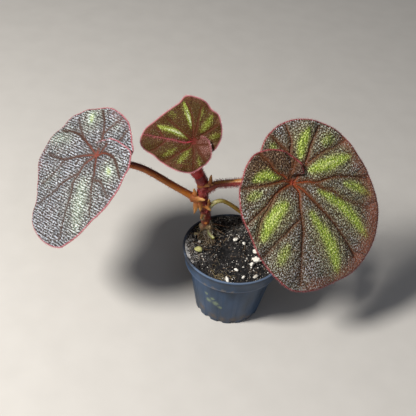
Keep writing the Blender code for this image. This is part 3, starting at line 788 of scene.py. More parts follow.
def ball(x, y, z, radius, squash=1.0):
    start_fresh()
    bpy.ops.mesh.primitive_ico_sphere_add(subdivisions=4, radius=radius * MM)
    lump = bpy.context.object
    for vertex in lump.data.vertices:
        vertex.co *= 1 + 0.35 * noise.noise(vertex.co / (1.2 * MM) + Vector((x, y, z)))
        vertex.co.z *= squash
    lump.data.transform(Matrix.Translation(Vector((x, y, z)) * MM))
    return lump


stem_line = smooth_route(STEM_ROUTE, 12)
for ring in STEM_RINGS:
    # A scar stands a little proud of the stem all round
    stem_line[:, 3] += 0.28 * np.exp(-(((stem_line[:, 2] - ring) / 0.7) ** 2))
stem = join(
    [tube("rhizome", stem_line, 32)]
    + [ball(*lump) for lump in STEM_LUMPS]
    + [ball(*STEM_BUD, 0.8)]
    + [
        tube("root", [(*spot, ROOT_RADIUS * (1 - 0.5 * i / 24)) for i, spot in enumerate(line)], 10)
        for line in (smooth_route(root, 8) for root in ROOTS)
    ]
)
remesh = stem.modifiers.new("Skin", "REMESH")
remesh.mode = "VOXEL"
remesh.voxel_size = STEM_VOXEL * MM
remesh.use_smooth_shade = True
apply_modifiers(stem)
ease = stem.modifiers.new("Ease", "SMOOTH")
ease.factor = 0.5
ease.iterations = 3
apply_modifiers(stem)
spots, normals = points_of(stem)
wrinkle = np.array(
    [
        0.16 * noise.noise(Vector((x * 0.9, y * 0.9, z * 0.45)))
        + 0.1 * noise.noise(Vector((x * 2.2, y * 2.2, z * 1.1)))
        + 0.35 * max(0, (54 - z) / 12) * noise.noise(Vector((x, y, z)) * 1.3)
        for x, y, z in spots
    ]
)
move_points(stem, spots + normals * wrinkle[:, None])
away, _ = nearest(spots, np.array(STEM_LUMPS)[:6, :3])
bud_away, _ = nearest(spots, [STEM_BUD[:3]])
ring_away = np.abs(spots[:, 2:3] - np.array(STEM_RINGS)).min(1)
note(
    stem,
    level=spots[:, 2],
    lump=np.clip(1.6 - away[:, 0] / 1.9, 0, 1),
    bud=np.clip(1.7 - bud_away[:, 0] / 0.9, 0, 1),
    ring=np.exp(-((ring_away / 0.5) ** 2)),
)

# Hair roots fan out over the soil round the stem's foot, most of them behind it
FOOT_CENTRE = (-17.2, 13.0)
FOOT_RADIUS = 2.2
HAIR_ROOT_COUNT = 95
draw = random.Random(25)
starts, runs = [], []
for _ in range(HAIR_ROOT_COUNT):
    way = draw.uniform(-0.8, 2.5) if draw.random() < 0.8 else draw.uniform(-2.7, -0.8)
    level = draw.uniform(45.5, 53.5)
    x = FOOT_CENTRE[0] + FOOT_RADIUS * math.cos(way)
    y = FOOT_CENTRE[1] + FOOT_RADIUS * math.sin(way)
    length, heading = draw.uniform(2.0, 9), way + draw.gauss(0, 0.8)
    run = run_on_soil(x, y, length, heading, 26.8, draw.uniform(0.2, 1.8))
    starts.append((x, y, level))
    runs.append((*run[:2], run[2] - level))
widths = np.array([draw.uniform(0.1, 0.2) for _ in runs])
tones = [draw.choice((0.3, 0.7, 0.9, 1.0, 1.0)) for _ in starts]
axes = lay(np.array(runs), widths, 25)
hair_roots = scatter("hair_roots", strand_model(5.0), axes, np.array(starts), tone=tones)
hair_roots.data.materials.append(dry_strands)
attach(hair_roots, "root")

# Living rhizome skin: wine red and half glossy above, corky and brown at the foot, with pale
# green callus on the lumps. It is soft, so it scatters a little light.
rhizome_skin, tree, shader = finish(
    "hairy_rhizome_skin", Roughness=0.45, Subsurface_Weight=0.08, Subsurface_Scale=0.6 * MM
)
place = add(tree, "TexCoord").outputs["Object"]
level = add(tree, "Attribute", attribute_name="level").outputs["Fac"]
drift = add(tree, "TexNoise", {"Vector": place, "Scale": 1 / (3 * MM), "Detail": 4.0})
shift = add(tree, "Math", (drift, 14.0, level), operation="MULTIPLY_ADD")
height = add(tree, "MapRange", (shift, 53.0, 84.0))
skin = add(
    tree,
    "ValToRGB",
    (height,),
    [(0.0, "#8a7258"), (0.16, "#8c5238"), (0.4, "#6e2018"), (0.75, "#600b10"), (1.0, "#780e14")],
)
ring = add(tree, "Attribute", attribute_name="ring").outputs["Fac"]
ring = add(tree, "Math", (ring, 0.4), operation="MULTIPLY")
skin = add(tree, "MixRGB", (ring, skin, "#8c4a34"))
speck = add(tree, "TexNoise", {"Vector": place, "Scale": 1 / (0.7 * MM), "Detail": 5.0})
freckles = add(tree, "MapRange", (speck, 0.56, 0.7, 0.0, 0.3))
skin = add(tree, "MixRGB", (freckles, skin, "#8c4640"))
lump = add(tree, "Attribute", attribute_name="lump").outputs["Fac"]
lump = add(tree, "Math", (lump, speck, 0.15), operation="MULTIPLY_ADD")
lump = add(tree, "MapRange", (lump, 0.35, 0.75, 0.0, 0.85))
skin = add(tree, "MixRGB", (lump, skin, "#c4b98c"))
bud = add(tree, "Attribute", attribute_name="bud").outputs["Fac"]
skin = add(tree, "MixRGB", (bud, skin, "#e08a3c"))
cork = add(tree, "MapRange", (level, 48.0, 62.0, 0.85, 0.42))
grain = add(tree, "TexNoise", {"Vector": place, "Scale": 1 / (0.3 * MM), "Detail": 4.0})
relief = add(tree, "Bump", {"Height": grain, "Strength": 0.5, "Distance": 0.12 * MM})
set_sockets(tree, shader, Base_Color=skin, Roughness=cork, Normal=relief)
stem.name = "rhizome"
stem.data.materials.clear()
stem.data.materials.append(rhizome_skin)
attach(stem, "root")
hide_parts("stem")


# Stipules: dry papery scales, tan to orange, that once wrapped each new leaf. They still clasp
# the stem where a stalk leaves it, curled in at their sides and drawn out to a thin point.
# Each is (root, tip, half width, face): the face is the side that looks away from the stem
STIPULES = (
    ((-24.6, 6.5, 83.4), (-15.6, 6.0, 85.8), 1.9, (-0.1, -1, 0.6)),
    ((-17.6, 6.0, 85.2), (-17.3, 5.0, 93.2), 1.3, (0.2, -1, 0)),
    ((-25.6, 7.6, 74.2), (-26.2, 6.2, 81.4), 1.8, (-0.5, -1, 0)),
    ((-27.8, 7.2, 73.2), (-19.4, 5.6, 74.2), 2.6, (-0.1, -1, 0.4)),
    ((-25.0, 7.8, 72.6), (-24.9, 6.0, 62.8), 2.3, (-0.6, -1, 0)),
    ((-22.9, 7.0, 71.6), (-21.4, 6.6, 64.6), 1.9, (-0.2, -1, 0)),
    ((-16.9, 8.3, 68.2), (-17.3, 6.8, 74.2), 1.1, (0.3, -1, 0)),
    ((-21.4, 8.0, 68.0), (-15.6, 7.4, 65.4), 2.0, (0.1, -1, -0.1)),
    ((-20.6, 9.6, 63.2), (-21.0, 8.4, 57.0), 1.5, (-0.6, -1, 0)),
)


def stipule(root, tip, half_width, face, seed):
    """A pointed scale, rolled in along its sides and bent back towards its tip."""
    start_fresh()
    bpy.ops.mesh.primitive_grid_add(x_subdivisions=8, y_subdivisions=18, size=2)
    scale = bpy.context.object
    root, tip = Vector(root), Vector(tip)
    along = tip - root
    across = along.cross(Vector(face)).normalized()
    proud = across.cross(along).normalized()
    for vertex in scale.data.vertices:
        side, part = vertex.co.x, (vertex.co.y + 1) / 2
        width = half_width * (0.8 + 0.5 * part) * (1 - part**1.3) ** 0.8 + 0.05
        width *= 1 + 0.25 * noise.noise(Vector((side * 0.6, part * 5, seed)))
        roll = 0.55 * half_width * (1 - side * side) * (1 - 0.5 * part)
        curl = -0.12 * along.length * math.sin(math.pi * part)
        lift = roll + curl * 0.5 + 0.2 * noise.noise(Vector((side, part * 3, seed + 4)))
        spot = root + along * part + across * width * side + proud * lift
        vertex.co = spot * MM
    skin = scale.modifiers.new("Paper", "SOLIDIFY")
    skin.thickness = 0.16 * MM
    skin.offset = 0
    apply_modifiers(scale)
    edit(scale)
    close_up(scale, 60)
    reach = [(vertex.co / MM - root).length for vertex in scale.data.vertices]
    note(scale, along=np.minimum(1, np.array(reach) / along.length))
    return scale


stipules = join([stipule(*shape, seed) for seed, shape in enumerate(STIPULES)])
stipules.name = "stipules"
papery, tree, shader = finish(
    "dry_papery_scale", Roughness=0.6, Subsurface_Weight=0.1, Subsurface_Scale=0.4 * MM
)
place = add(tree, "TexCoord").outputs["Object"]
along = add(tree, "Attribute", attribute_name="along").outputs["Fac"]
stain = add(tree, "TexNoise", {"Vector": place, "Scale": 1 / (1.6 * MM), "Detail": 4.0})
mixed = add(tree, "Math", (along, stain), operation="ADD")
mixed = add(tree, "Math", (mixed, 0.5), operation="MULTIPLY")
paper = add(
    tree,
    "ValToRGB",
    (mixed,),
    [(0.2, "#6e331c"), (0.4, "#a25c28"), (0.6, "#aa763a"), (0.85, "#c49a62")],
)
ribs = add(tree, "TexNoise", {"Vector": place, "Scale": 1 / (0.35 * MM), "Detail": 2.0})
relief = add(tree, "Bump", {"Height": ribs, "Strength": 0.5, "Distance": 0.08 * MM})
set_sockets(tree, shader, Base_Color=paper, Normal=relief)
stipules.data.materials.append(papery)
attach(stipules, "root")


# Leaf stalks: round, fleshy and finely ribbed, each growing out of the stem and swelling into
# the hub of its leaf. They are red and woolly when young and amber when old. One is only a stub.
STALK_UNDER_HUB = 1.2
STALK_BEND_UNDER_HUB = 1.4
STALK_STRAIGHT_END = 3.5
STALK_END_RADIUS = 2.0


def blade_axes(facing, rise, turn):
    """A blade's unit vectors: out of its face, towards its tip, and sideways."""
    facing, rise, turn = np.radians((facing, rise, turn))
    out = np.array(
        (np.sin(facing) * np.cos(rise), -np.cos(facing) * np.cos(rise), np.sin(rise))
    )
    level = np.array((np.cos(facing), np.sin(facing), 0))
    tip = level * np.cos(turn) + np.cross(out, level) * np.sin(turn)
    return out, tip, np.cross(out, tip)


# Each is (node, slot, route, how its leaf is held, skin). A skin is its name, its colours from
# root to leaf, its crest as (start, end, colour, strength), and how fine its ribs are.
STALKS = (
    (
        "petiole_left",
        "amber_stalk",
        (
            (-21, 10.2, 70, 2.4), (-27.6, 9.5, 73.2, 2.2), (-32.9, 9, 76.6, 2),
            (-40.7, 8.2, 81.8, 2), (-48.4, 7.4, 87.2, 2), (-56, 7.2, 91.2, 1.9),
            (-64, 7, 93.2, 1.9), (-72.5, 6.6, 94.2, 1.9),
        ),
        ((-81, 4, 100), -60, 45),
        (
            "amber_stalk_skin",
            ((0.0, "#b86a1c"), (0.25, "#c27218"), (0.7, "#ba601a"), (1.0, "#943a1c")),
            (0.7, 1.1, "#5e1c18", 0.85),
            9.0,
        ),
    ),
    (
        "petiole_right",
        "red_stalk",
        (
            (-20, 9.3, 78, 2.2), (-15.4, 8.6, 83, 2.1), (-11.5, 8, 85.3, 1.9),
            (-6.1, 7, 87.2, 1.9), (0.2, 5.8, 89.6, 1.9), (12, 5.8, 91.4, 1.8), (20, 6, 91.8, 1.8),
        ),
        ((27.3, 2, 96.1), 25, 38),
        (
            "red_woolly_stalk_skin",
            ((0.0, "#96502a"), (0.3, "#84281f"), (1.0, "#80201e")),
            (0.72, 1.05, "#c89a50", 0.8),
            9.0,
        ),
    ),
    (
        "petiole_young",
        "red_stalk",
        (
            (-24.4, 8, 90.2, 3.3), (-25.8, 7.4, 92.9, 3.7), (-27.4, 7, 97.2, 3.5),
            (-28.2, 7.2, 103, 3), (-28.4, 7.8, 108.6, 2.4),
        ),
        ((-28.6, 4, 115.5), -10, 35),
        (
            "wine_red_stalk_skin",
            ((0.0, "#b4181c"), (0.6, "#b81c1e"), (1.0, "#9c2626")),
            (0.9, 1.3, "#a03030", 0.4),
            8.0,
        ),
    ),
    (
        "petiole_lower",
        "amber_stalk",
        (
            (-17.5, 10.4, 64.5, 1.5), (-14.8, 9.8, 68.5, 1.4), (-12.4, 10.2, 70.3, 1.3),
            (-9.4, 10.8, 70.4, 1.25), (-6.1, 11.5, 68.6, 1.25), (-2.2, 12.2, 65.5, 1.25),
            (1.8, 13, 61.9, 1.25), (8, 13.6, 57.6, 1.25), (15.3, 14, 53.6, 1.25),
            (24, 14.6, 49.6, 1.25),
        ),
        ((35, 14, 51), 60, 50),
        (
            "ochre_stalk_skin",
            (
                (0.0, "#c2bf96"), (0.1, "#a8a262"), (0.22, "#93792e"), (0.6, "#96692a"),
                (1.0, "#7a4a24"),
            ),
            (0.8, 1.2, "#b39c58", 0.5),
            8.0,
        ),
    ),
    (
        "old_petiole",
        "green_stalk",
        ((-16.4, 13, 45.6, 1.1), (-15.4, 10.6, 45.2, 1), (-14, 8.6, 44.8, 1), (-12.1, 6.4, 44.4, 0.9)),
        None,
        (
            "green_stalk_skin",
            ((0.0, "#a3a468"), (0.5, "#b3b46c"), (1.0, "#96983e")),
            (0.7, 1.2, "#d6d8ac", 0.7),
            8.0,
        ),
    ),
)


def stalk_skin(name, ramp, crest, rib_scale):
    """Fleshy stalk skin with its own colour along the crest and fine lengthwise streaks."""
    material, tree, shader = finish(
        name, Roughness=0.42, Subsurface_Weight=0.1, Subsurface_Scale=0.8 * MM
    )
    place = add(tree, "TexCoord").outputs["Object"]
    along = add(tree, "Attribute", attribute_name="along").outputs["Fac"]
    patchy = add(tree, "TexNoise", {"Vector": place, "Scale": 1 / (4 * MM), "Detail": 4.0})
    spread = add(tree, "Math", (patchy, 0.3, along), operation="MULTIPLY_ADD")
    spread = add(tree, "Math", (spread, 0.15), operation="SUBTRACT")
    body = add(tree, "ValToRGB", (spread,), ramp)
    around = add(tree, "Attribute", attribute_name="around").outputs["Vector"]
    rib = add(tree, "TexNoise", {"Vector": around, "Scale": rib_scale, "Detail": 3.0})
    darker = add(tree, "MapRange", (rib, 0.5, 0.75, 0.0, 0.3))
    body = add(tree, "MixRGB", (darker, body, "#4f1a12"))
    upper = add(tree, "Attribute", attribute_name="upper").outputs["Fac"]
    upper = add(tree, "Math", (rib, 0.5, upper), operation="MULTIPLY_ADD")
    top = add(tree, "MapRange", (upper, crest[0], crest[1], 0.0, crest[3]))
    body = add(tree, "MixRGB", (top, body, crest[2]))
    relief = add(tree, "Bump", {"Height": rib, "Strength": 0.5, "Distance": 0.15 * MM})
    set_sockets(tree, shader, Base_Color=body, Normal=relief)
    return material


stalks = {}
for node, slot, route, held, skin in STALKS:
    route = list(route)
    if held:
        hub, facing, rise = held
        out = blade_axes(facing, rise, 0)[0]
        width = min(route[-1][3], STALK_END_RADIUS)
        under = np.array(hub) - out * STALK_BEND_UNDER_HUB
        route += [(*(under - out * STALK_STRAIGHT_END), width), (*under, width * 1.06)]
    line = smooth_route(route, 10)
    if held:
        line = np.vstack([line, [*(np.array(hub) - out * STALK_UNDER_HUB), width * 1.08]])
    stalk = tube(node.replace("petiole", "leaf_stalk"), line, 28)
    spots, normals = points_of(stalk)
    _, which = nearest(spots, line[:, :3])
    travel = travel_along(line[:, :3])
    along = travel[which[:, 0]]
    # Low ribs run the length of the stalk, and fine bumps break them up
    ribs = [
        noise.noise(Vector(normal) * 3.4 + Vector((0, 0, reach * 0.08)))
        for normal, reach in zip(normals, along)
    ]
    bumps = [noise.noise(Vector(spot) * 1.1) for spot in spots]
    move_points(stalk, spots + normals * (0.09 * np.array(ribs) + 0.06 * np.array(bumps))[:, None])
    around = normals + np.outer(along, (0, 0.02, 0))
    note(stalk, along=along / travel[-1], upper=normals[:, 2], around=around)
    stalk.data.materials.clear()
    stalk.data.materials.append(stalk_skin(*skin))
    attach(stalk, "root")
    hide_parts(node)
    stalks[node] = stalk


# Hairs: stiff, clear hairs with a red foot, 1 to 2 mm long, on the stem and the younger stalks.
# Real ones are 0.05 mm thick; these are a little thicker, so that they still show.
HAIR_RADIUS = 0.05
HAIR_ROOT = 0.08
HAIR_SPREAD = 0.35


def plant_hairs(name, starts, runs, thickness, tones, seed, draw):
    """Hairs along the given vectors, each as thick as so many times the usual."""
    axes = lay(runs, np.full(len(starts), thickness * HAIR_RADIUS), seed)
    tones = draw.uniform(*tones, len(starts))
    thing = scatter(name, strand_model(0.6, sides=3, steps=2), axes, starts, tone=tones)
    thing.data.materials.append(hair_skin)
    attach(thing, "root")


def hairs(name, carrier, seed, count, lengths, lean, tones, low=-1e9):
    """Hairs that stand on the faces of a piece, above a level, and lean up or down."""
    faces = carrier.data.polygons
    centres, normals, areas = (np.empty(size * len(faces)) for size in (3, 3, 1))
    faces.foreach_get("center", centres)
    faces.foreach_get("normal", normals)
    faces.foreach_get("area", areas)
    centres, normals = centres.reshape(-1, 3) / MM, normals.reshape(-1, 3)
    draw = np.random.default_rng(seed)
    weight = areas * (centres[:, 2] > low)
    chosen = draw.choice(len(faces), count, p=weight / weight.sum())
    runs = normals[chosen] + HAIR_SPREAD * draw.normal(size=(count, 3)) + np.array((0, 0, lean))
    runs /= np.linalg.norm(runs, axis=1, keepdims=True)
    runs *= draw.uniform(*lengths, (count, 1))
    starts = centres[chosen] - HAIR_ROOT * normals[chosen]
    plant_hairs(name, starts, runs, 1.4, tones, seed, draw)


hair_skin, tree, shader = finish("clear_leaf_hair", Roughness=0.3, IOR=1.5)
tone = add(tree, "Attribute", attribute_name="tone").outputs["Fac"]
along = add(tree, "Attribute", attribute_name="along").outputs["Fac"]
body = add(
    tree,
    "ValToRGB",
    (tone,),
    [(0.0, "#dcdde6"), (0.35, "#b9a59c"), (0.65, "#b0676a"), (1.0, "#8a2430")],
)
foot = add(tree, "MapRange", (along, 0.0, 0.5, 0.5, 0.0))
body = add(tree, "MixRGB", (foot, body, "#8a3a38"))
set_sockets(tree, shader, Base_Color=body)
hairs("stem_hairs", stem, 41, 450, (0.6, 1.2), -0.1, (0.5, 1.0), 52)
for side, slot, seed, count, lengths, lean, tones in (
    ("left", "amber_stalk", 42, 650, (0.5, 1.2), 0.1, (0.3, 0.9)),
    ("right", "red_stalk", 43, 2400, (0.8, 1.7), -0.45, (0.6, 1.0)),
    ("young", "red_stalk", 44, 300, (0.5, 1.1), 0, (0.6, 1.0)),
    ("lower", "amber_stalk", 45, 260, (0.4, 0.9), 0, (0.1, 0.7)),
):
    stalk = stalks["petiole_" + side]
    hairs(side + "_stalk_hairs", stalk, seed, count, lengths, lean, tones)


# Right leaf: the largest and oldest blade, tilted towards the front. A begonia's blade is lopsided
# and heart shaped: its two lobes pass behind and in front of each other where the stalk joins.
# It is puckered between red sunken veins and pebbled all over, with lime stripes between veins.
BLADE_THICKNESS = 0.7
MARGIN_THICKNESS = 0.3
HUB_RADIUS = 2.2
HUB_SWELLING = 0.3
RIB_HEIGHT = 0.6
SLIT_ANGLE = 4
LOBES_PART_RADIUS = 1.5
LOBES_FREE_RADIUS = 7.0
LOBE_START_ANGLE = 110
FIRST_ROW_RADIUS = 0.8
VEIN_DEPTH = 0.55
FIRST_VEIN_RADIUS = 1.2
UNDER_COARSENESS = 2.0
CREASE_PITCH = 4.6
CREASE_ANGLE = 48
CREASE_LENGTH = 9.0


@dataclass
class Leaf:
    """One blade: how it is held and shaped, with its markings. Angles run round the hub, where the
    stalk joins: 0 is the tip, the minus side ends in the lobe behind, the plus side in the lobe in
    front. Routes are (angle, radius) points, and a stripe is (half width, strength, route)."""

    hub: tuple
    facing: float
    rise: float
    turn: float
    hand: int
    crown: tuple
    droop: float
    puff: float
    lobe_lift: float
    outline: tuple
    veins: tuple
    branches: tuple
    stripes: tuple
    blushes: tuple
    patches: tuple
    pebble: tuple
    spacing: float
    seed: int

    def ends(self):
        """The angles at which the margin starts and ends."""
        return self.outline[0][0], self.outline[-1][0]


RIGHT = Leaf(
    hub=(27.3, 2, 96.1),
    facing=25,
    rise=38,
    turn=-84,
    hand=-1,
    crown=(2.5, 10),
    droop=0.0016,
    puff=1.3,
    lobe_lift=2.25,
    outline=(
        (-224, 22), (-210, 26), (-190, 30), (-165, 34), (-135, 37.5), (-112, 41), (-98, 42.5),
        (-84, 46.5), (-72, 51.5), (-55, 58.5), (-40, 62.5), (-25, 65), (-10, 63), (5, 62), (15, 60),
        (25, 54), (35, 48), (45, 43.5), (55, 39), (70, 36), (90, 33), (110, 30.5), (135, 28),
        (150, 24.5), (170, 19), (190, 14), (215, 10.5), (245, 6.5),
    ),
    veins=(
        ((-125, 9), (-132, 15), (-137, 24), (-137, 34)),
        ((-76, 9), (-73, 13), (-79, 19), (-81, 25), (-80, 32), (-77, 47)),
        ((-37, 7), (-33, 15), (-32, 21), (-32, 31), (-30, 44), (-28, 58)),
        ((-16, 7), (1, 14), (3, 21), (4, 28), (7, 36), (10, 57)),
        ((78, 7), (75, 12), (70, 18), (67, 22), (66, 35)),
        ((137, 7), (133, 12), (141, 18), (143, 25)),
        ((115, 6), (101, 14), (99, 30)),
        ((-132, 9), (-167, 13), (-170, 17), (-167, 23), (-171, 31)),
    ),
    branches=(
        ((-127, 11), (-121, 19), (-117, 25), (-112, 32), (-110, 40)),
        ((-73, 13), (-64, 17), (-62, 25), (-58, 31), (-57, 50)),
        ((6, 21), (17, 24), (25, 29), (31, 33), (38, 44)),
        ((75, 12), (62, 22), (58, 29), (50, 38)),
        ((-171, 15), (-184, 21), (-189, 26), (-192, 29)),
        ((180, 3), (188, 7), (196, 12)),
    ),
    stripes=(
        (3.2, 1.0, ((-147, 14), (-150, 22), (-146, 31))),
        (3.8, 1.1, ((-108, 12), (-102, 19), (-99, 27), (-97, 37))),
        (3.2, 0.8, ((-73, 31), (-70, 40), (-66, 50))),
        (3.5, 1.0, ((-57, 16), (-51, 31), (-46, 42), (-41, 56))),
        (4.0, 1.0, ((-15, 20), (-18, 37), (-17, 47), (-14, 58))),
        (4.3, 1.1, ((38, 13), (48, 22), (46, 36))),
        (3.2, 0.95, ((107, 24), (117, 17), (120, 8))),
        (3.2, 0.55, ((87, 29), (89, 20))),
        (3.8, 0.6, ((26, 46), (21, 35))),
        (4.2, 0.55, ((-126, 28), (-119, 35))),
        (2.6, 0.55, ((-199, 23), (-191, 22))),
    ),
    blushes=(
        (10, 1.0, ((-112, 41), (-90, 46), (-72, 52), (-55, 58), (-40, 62), (-25, 64), (-12, 62))),
        (6, 0.6, ((-12, 62), (8, 61))),
    ),
    patches=(
        (10, 1.0, ((112, 27), (135, 22), (160, 17), (190, 12), (215, 8))),
        (4, 0.6, ((95, 27), (80, 30))),
    ),
    pebble=(1.7, 1.9, 0.34, 0.9),
    spacing=0.385,
    seed=51,
)


def middle_and_half(leaf):
    first, last = leaf.ends()
    return (first + last) / 2, (last - first) / 2


def edge_radius(leaf, angle):
    """The blade's reach at an angle: cubic Hermite pieces through its outline."""
    knots, reach = np.array(leaf.outline, float).T
    slope = np.diff(reach) / np.diff(knots)
    middle = (reach[2:] - reach[:-2]) / (knots[2:] - knots[:-2])
    slope = np.concatenate([slope[:1], middle, slope[-1:]])
    piece = np.clip(np.searchsorted(knots, angle, side="right") - 1, 0, len(knots) - 2)
    width = knots[piece + 1] - knots[piece]
    t = (angle - knots[piece]) / width
    return (
        reach[piece] * (1 + 2 * t) * (1 - t) ** 2
        + slope[piece] * width * t * (1 - t) ** 2
        + reach[piece + 1] * t * t * (3 - 2 * t)
        + slope[piece + 1] * width * t * t * (t - 1)
    )


def along_margin(leaf):
    """Close angles round the margin, its reach there, and how far along it they are."""
    angles = np.linspace(*leaf.ends(), 3000)
    reach = edge_radius(leaf, angles)
    step = np.hypot(np.diff(reach), np.radians(np.diff(angles)) * (reach[1:] + reach[:-1]) / 2)
    return angles, reach, np.concatenate([[0], np.cumsum(step)])


def turn_round_hub(leaf, angle, radius):
    """Where an angle of the blade lies round its hub, in radians: near the hub the lobes part."""
    middle, half = middle_and_half(leaf)
    tight = (180 - SLIT_ANGLE / 2) / half
    free = smooth((radius - LOBES_PART_RADIUS) / (LOBES_FREE_RADIUS - LOBES_PART_RADIUS))
    return np.radians(middle + (angle - middle) * (tight + (1 - tight) * free))


def flat(leaf, angle, radius):
    """The blade laid flat, with its two lobes held apart by a third number."""
    angle, radius = np.asarray(angle, float), np.asarray(radius, float)
    theta = turn_round_hub(leaf, angle, radius)
    return np.column_stack([radius * np.cos(theta), radius * np.sin(theta), 0.02 * angle])


def on_blade(leaf, angle, radius, height):
    """Points in space at places on the blade, a height above its smooth face."""
    out, tip, sideways = blade_axes(leaf.facing, leaf.rise, leaf.turn)
    middle, half = middle_and_half(leaf)
    off = angle - middle
    lobe = smooth((abs(off) - LOBE_START_ANGLE) / (half - LOBE_START_ANGLE))
    lift = leaf.lobe_lift * lobe * smooth((radius - HUB_RADIUS) / 4)
    top, spread = leaf.crown
    dome = top * (1 - np.exp(-((radius / spread) ** 2))) - leaf.droop * radius**2
    theta = turn_round_hub(leaf, angle, radius)
    return (
        np.array(leaf.hub)
        + (radius * np.cos(theta))[:, None] * tip
        + (radius * np.sin(theta) * leaf.hand)[:, None] * sideways
        + (height + dome + np.copysign(lift, off))[:, None] * out
    )


def lines_on_blade(leaf, routes, start_size, end_share):
    """Close points along routes on the flat blade, each with a size that tapers along it."""
    lines, sizes = [], []
    for route in routes:
        if route[0][1] < 10:
            route = ((route[0][0], FIRST_VEIN_RADIUS), *route)
        line = smooth_route(flat(leaf, *np.array(route, float).T), 16)
        lines.append(line)
        sizes.append(start_size * np.linspace(1, end_share, len(line)))
    return lines, sizes


def band_strength(leaf, marks, spots, wider=1.0):
    """How strongly (half width, strength, route) marks show at spots of the flat blade."""
    best = np.zeros(len(spots))
    for half_width, strength, route in marks:
        line = smooth_route(flat(leaf, *np.array(route, float).T), 12)
        belly = np.sin(np.pi * np.linspace(0, 1, len(line))) ** 0.7
        for spot, reach, top in zip(line, half_width * (0.5 + 0.5 * belly), 0.6 + 0.4 * belly):
            away = ((spots - spot) ** 2).sum(1) / (wider * reach) ** 2
            best = np.maximum(best, strength * top * np.exp(-away))
    return best


def pebble_places(leaf):
    """The angle and radius of each pebble's top: uneven rows round the hub."""
    row, across, _, _ = leaf.pebble
    draw = np.random.default_rng(leaf.seed)
    first, last = leaf.ends()
    angles, radii = [], []
    for radius in np.arange(2.6, max(reach for _, reach in leaf.outline), row):
        pitch = math.degrees(across / radius)
        angle = np.arange(first + draw.uniform(0, pitch), last, pitch)
        angles.append(angle + draw.uniform(-0.45, 0.45, len(angle)) * pitch)
        radii.append(radius + draw.uniform(-0.45, 0.45, len(angle)) * row)
    angle, radius = np.concatenate(angles), np.concatenate(radii)
    inside = (radius < edge_radius(leaf, angle) - 0.7) & (angle > first + 1) & (angle < last - 1)
    return angle[inside], radius[inside]


def pebble_pattern(leaf, spots):
    """How high the pebble at each spot of the flat blade is there, 0 to 1, and a random number for
    that pebble, which sets how high it stands. A pebble is as long and wide as the rows are apart, and
    turned a little its own way."""
    row, across, _, wander = leaf.pebble
    tops = flat(leaf, *pebble_places(leaf))
    draw = np.random.default_rng(leaf.seed + 3)
    way = np.arctan2(tops[:, 1], tops[:, 0]) + draw.normal(0, wander, len(tops))
    shine = draw.uniform(0.15, 1, len(tops))
    _, close = nearest(spots, tops, 4)
    x, y = np.moveaxis((spots[:, None] - tops[close])[..., :2], -1, 0)
    cos, sin = np.cos(way)[close], np.sin(way)[close]
    reach = np.hypot((x * cos + y * sin) / row, (y * cos - x * sin) / across)
    first, second = np.sort(reach, 1)[:, :2].T
    own = close[np.arange(len(spots)), np.argmin(reach, 1)]
    return 1 - (2 * first / (first + second)) ** 2, shine[own]


def creases(veins):
    """Points along the fine side veins, which leave the veins by turns to the left and right."""
    points = []
    for line in veins:
        travel = travel_along(line[:, :2])
        for rank, start in enumerate(np.arange(7.0, travel[-1] - 1.5, CREASE_PITCH)):
            at = int(np.searchsorted(travel, start))
            ahead = line[at, :2] - line[at - 1, :2]
            ahead /= np.linalg.norm(ahead)
            turn = math.radians(CREASE_ANGLE if rank % 2 else -CREASE_ANGLE)
            (x, y), cos, sin = ahead, np.cos(turn), np.sin(turn)
            aside = np.array((x * cos - y * sin, x * sin + y * cos))
            part = np.linspace(0, 1, 16)[:, None]
            length = CREASE_LENGTH * min(1, start / 20)
            crease = line[at, :2] + length * part * (aside + 0.35 * part * ahead)
            points.append(np.column_stack([crease, np.full(16, line[at, 2])]))
    return np.vstack(points)


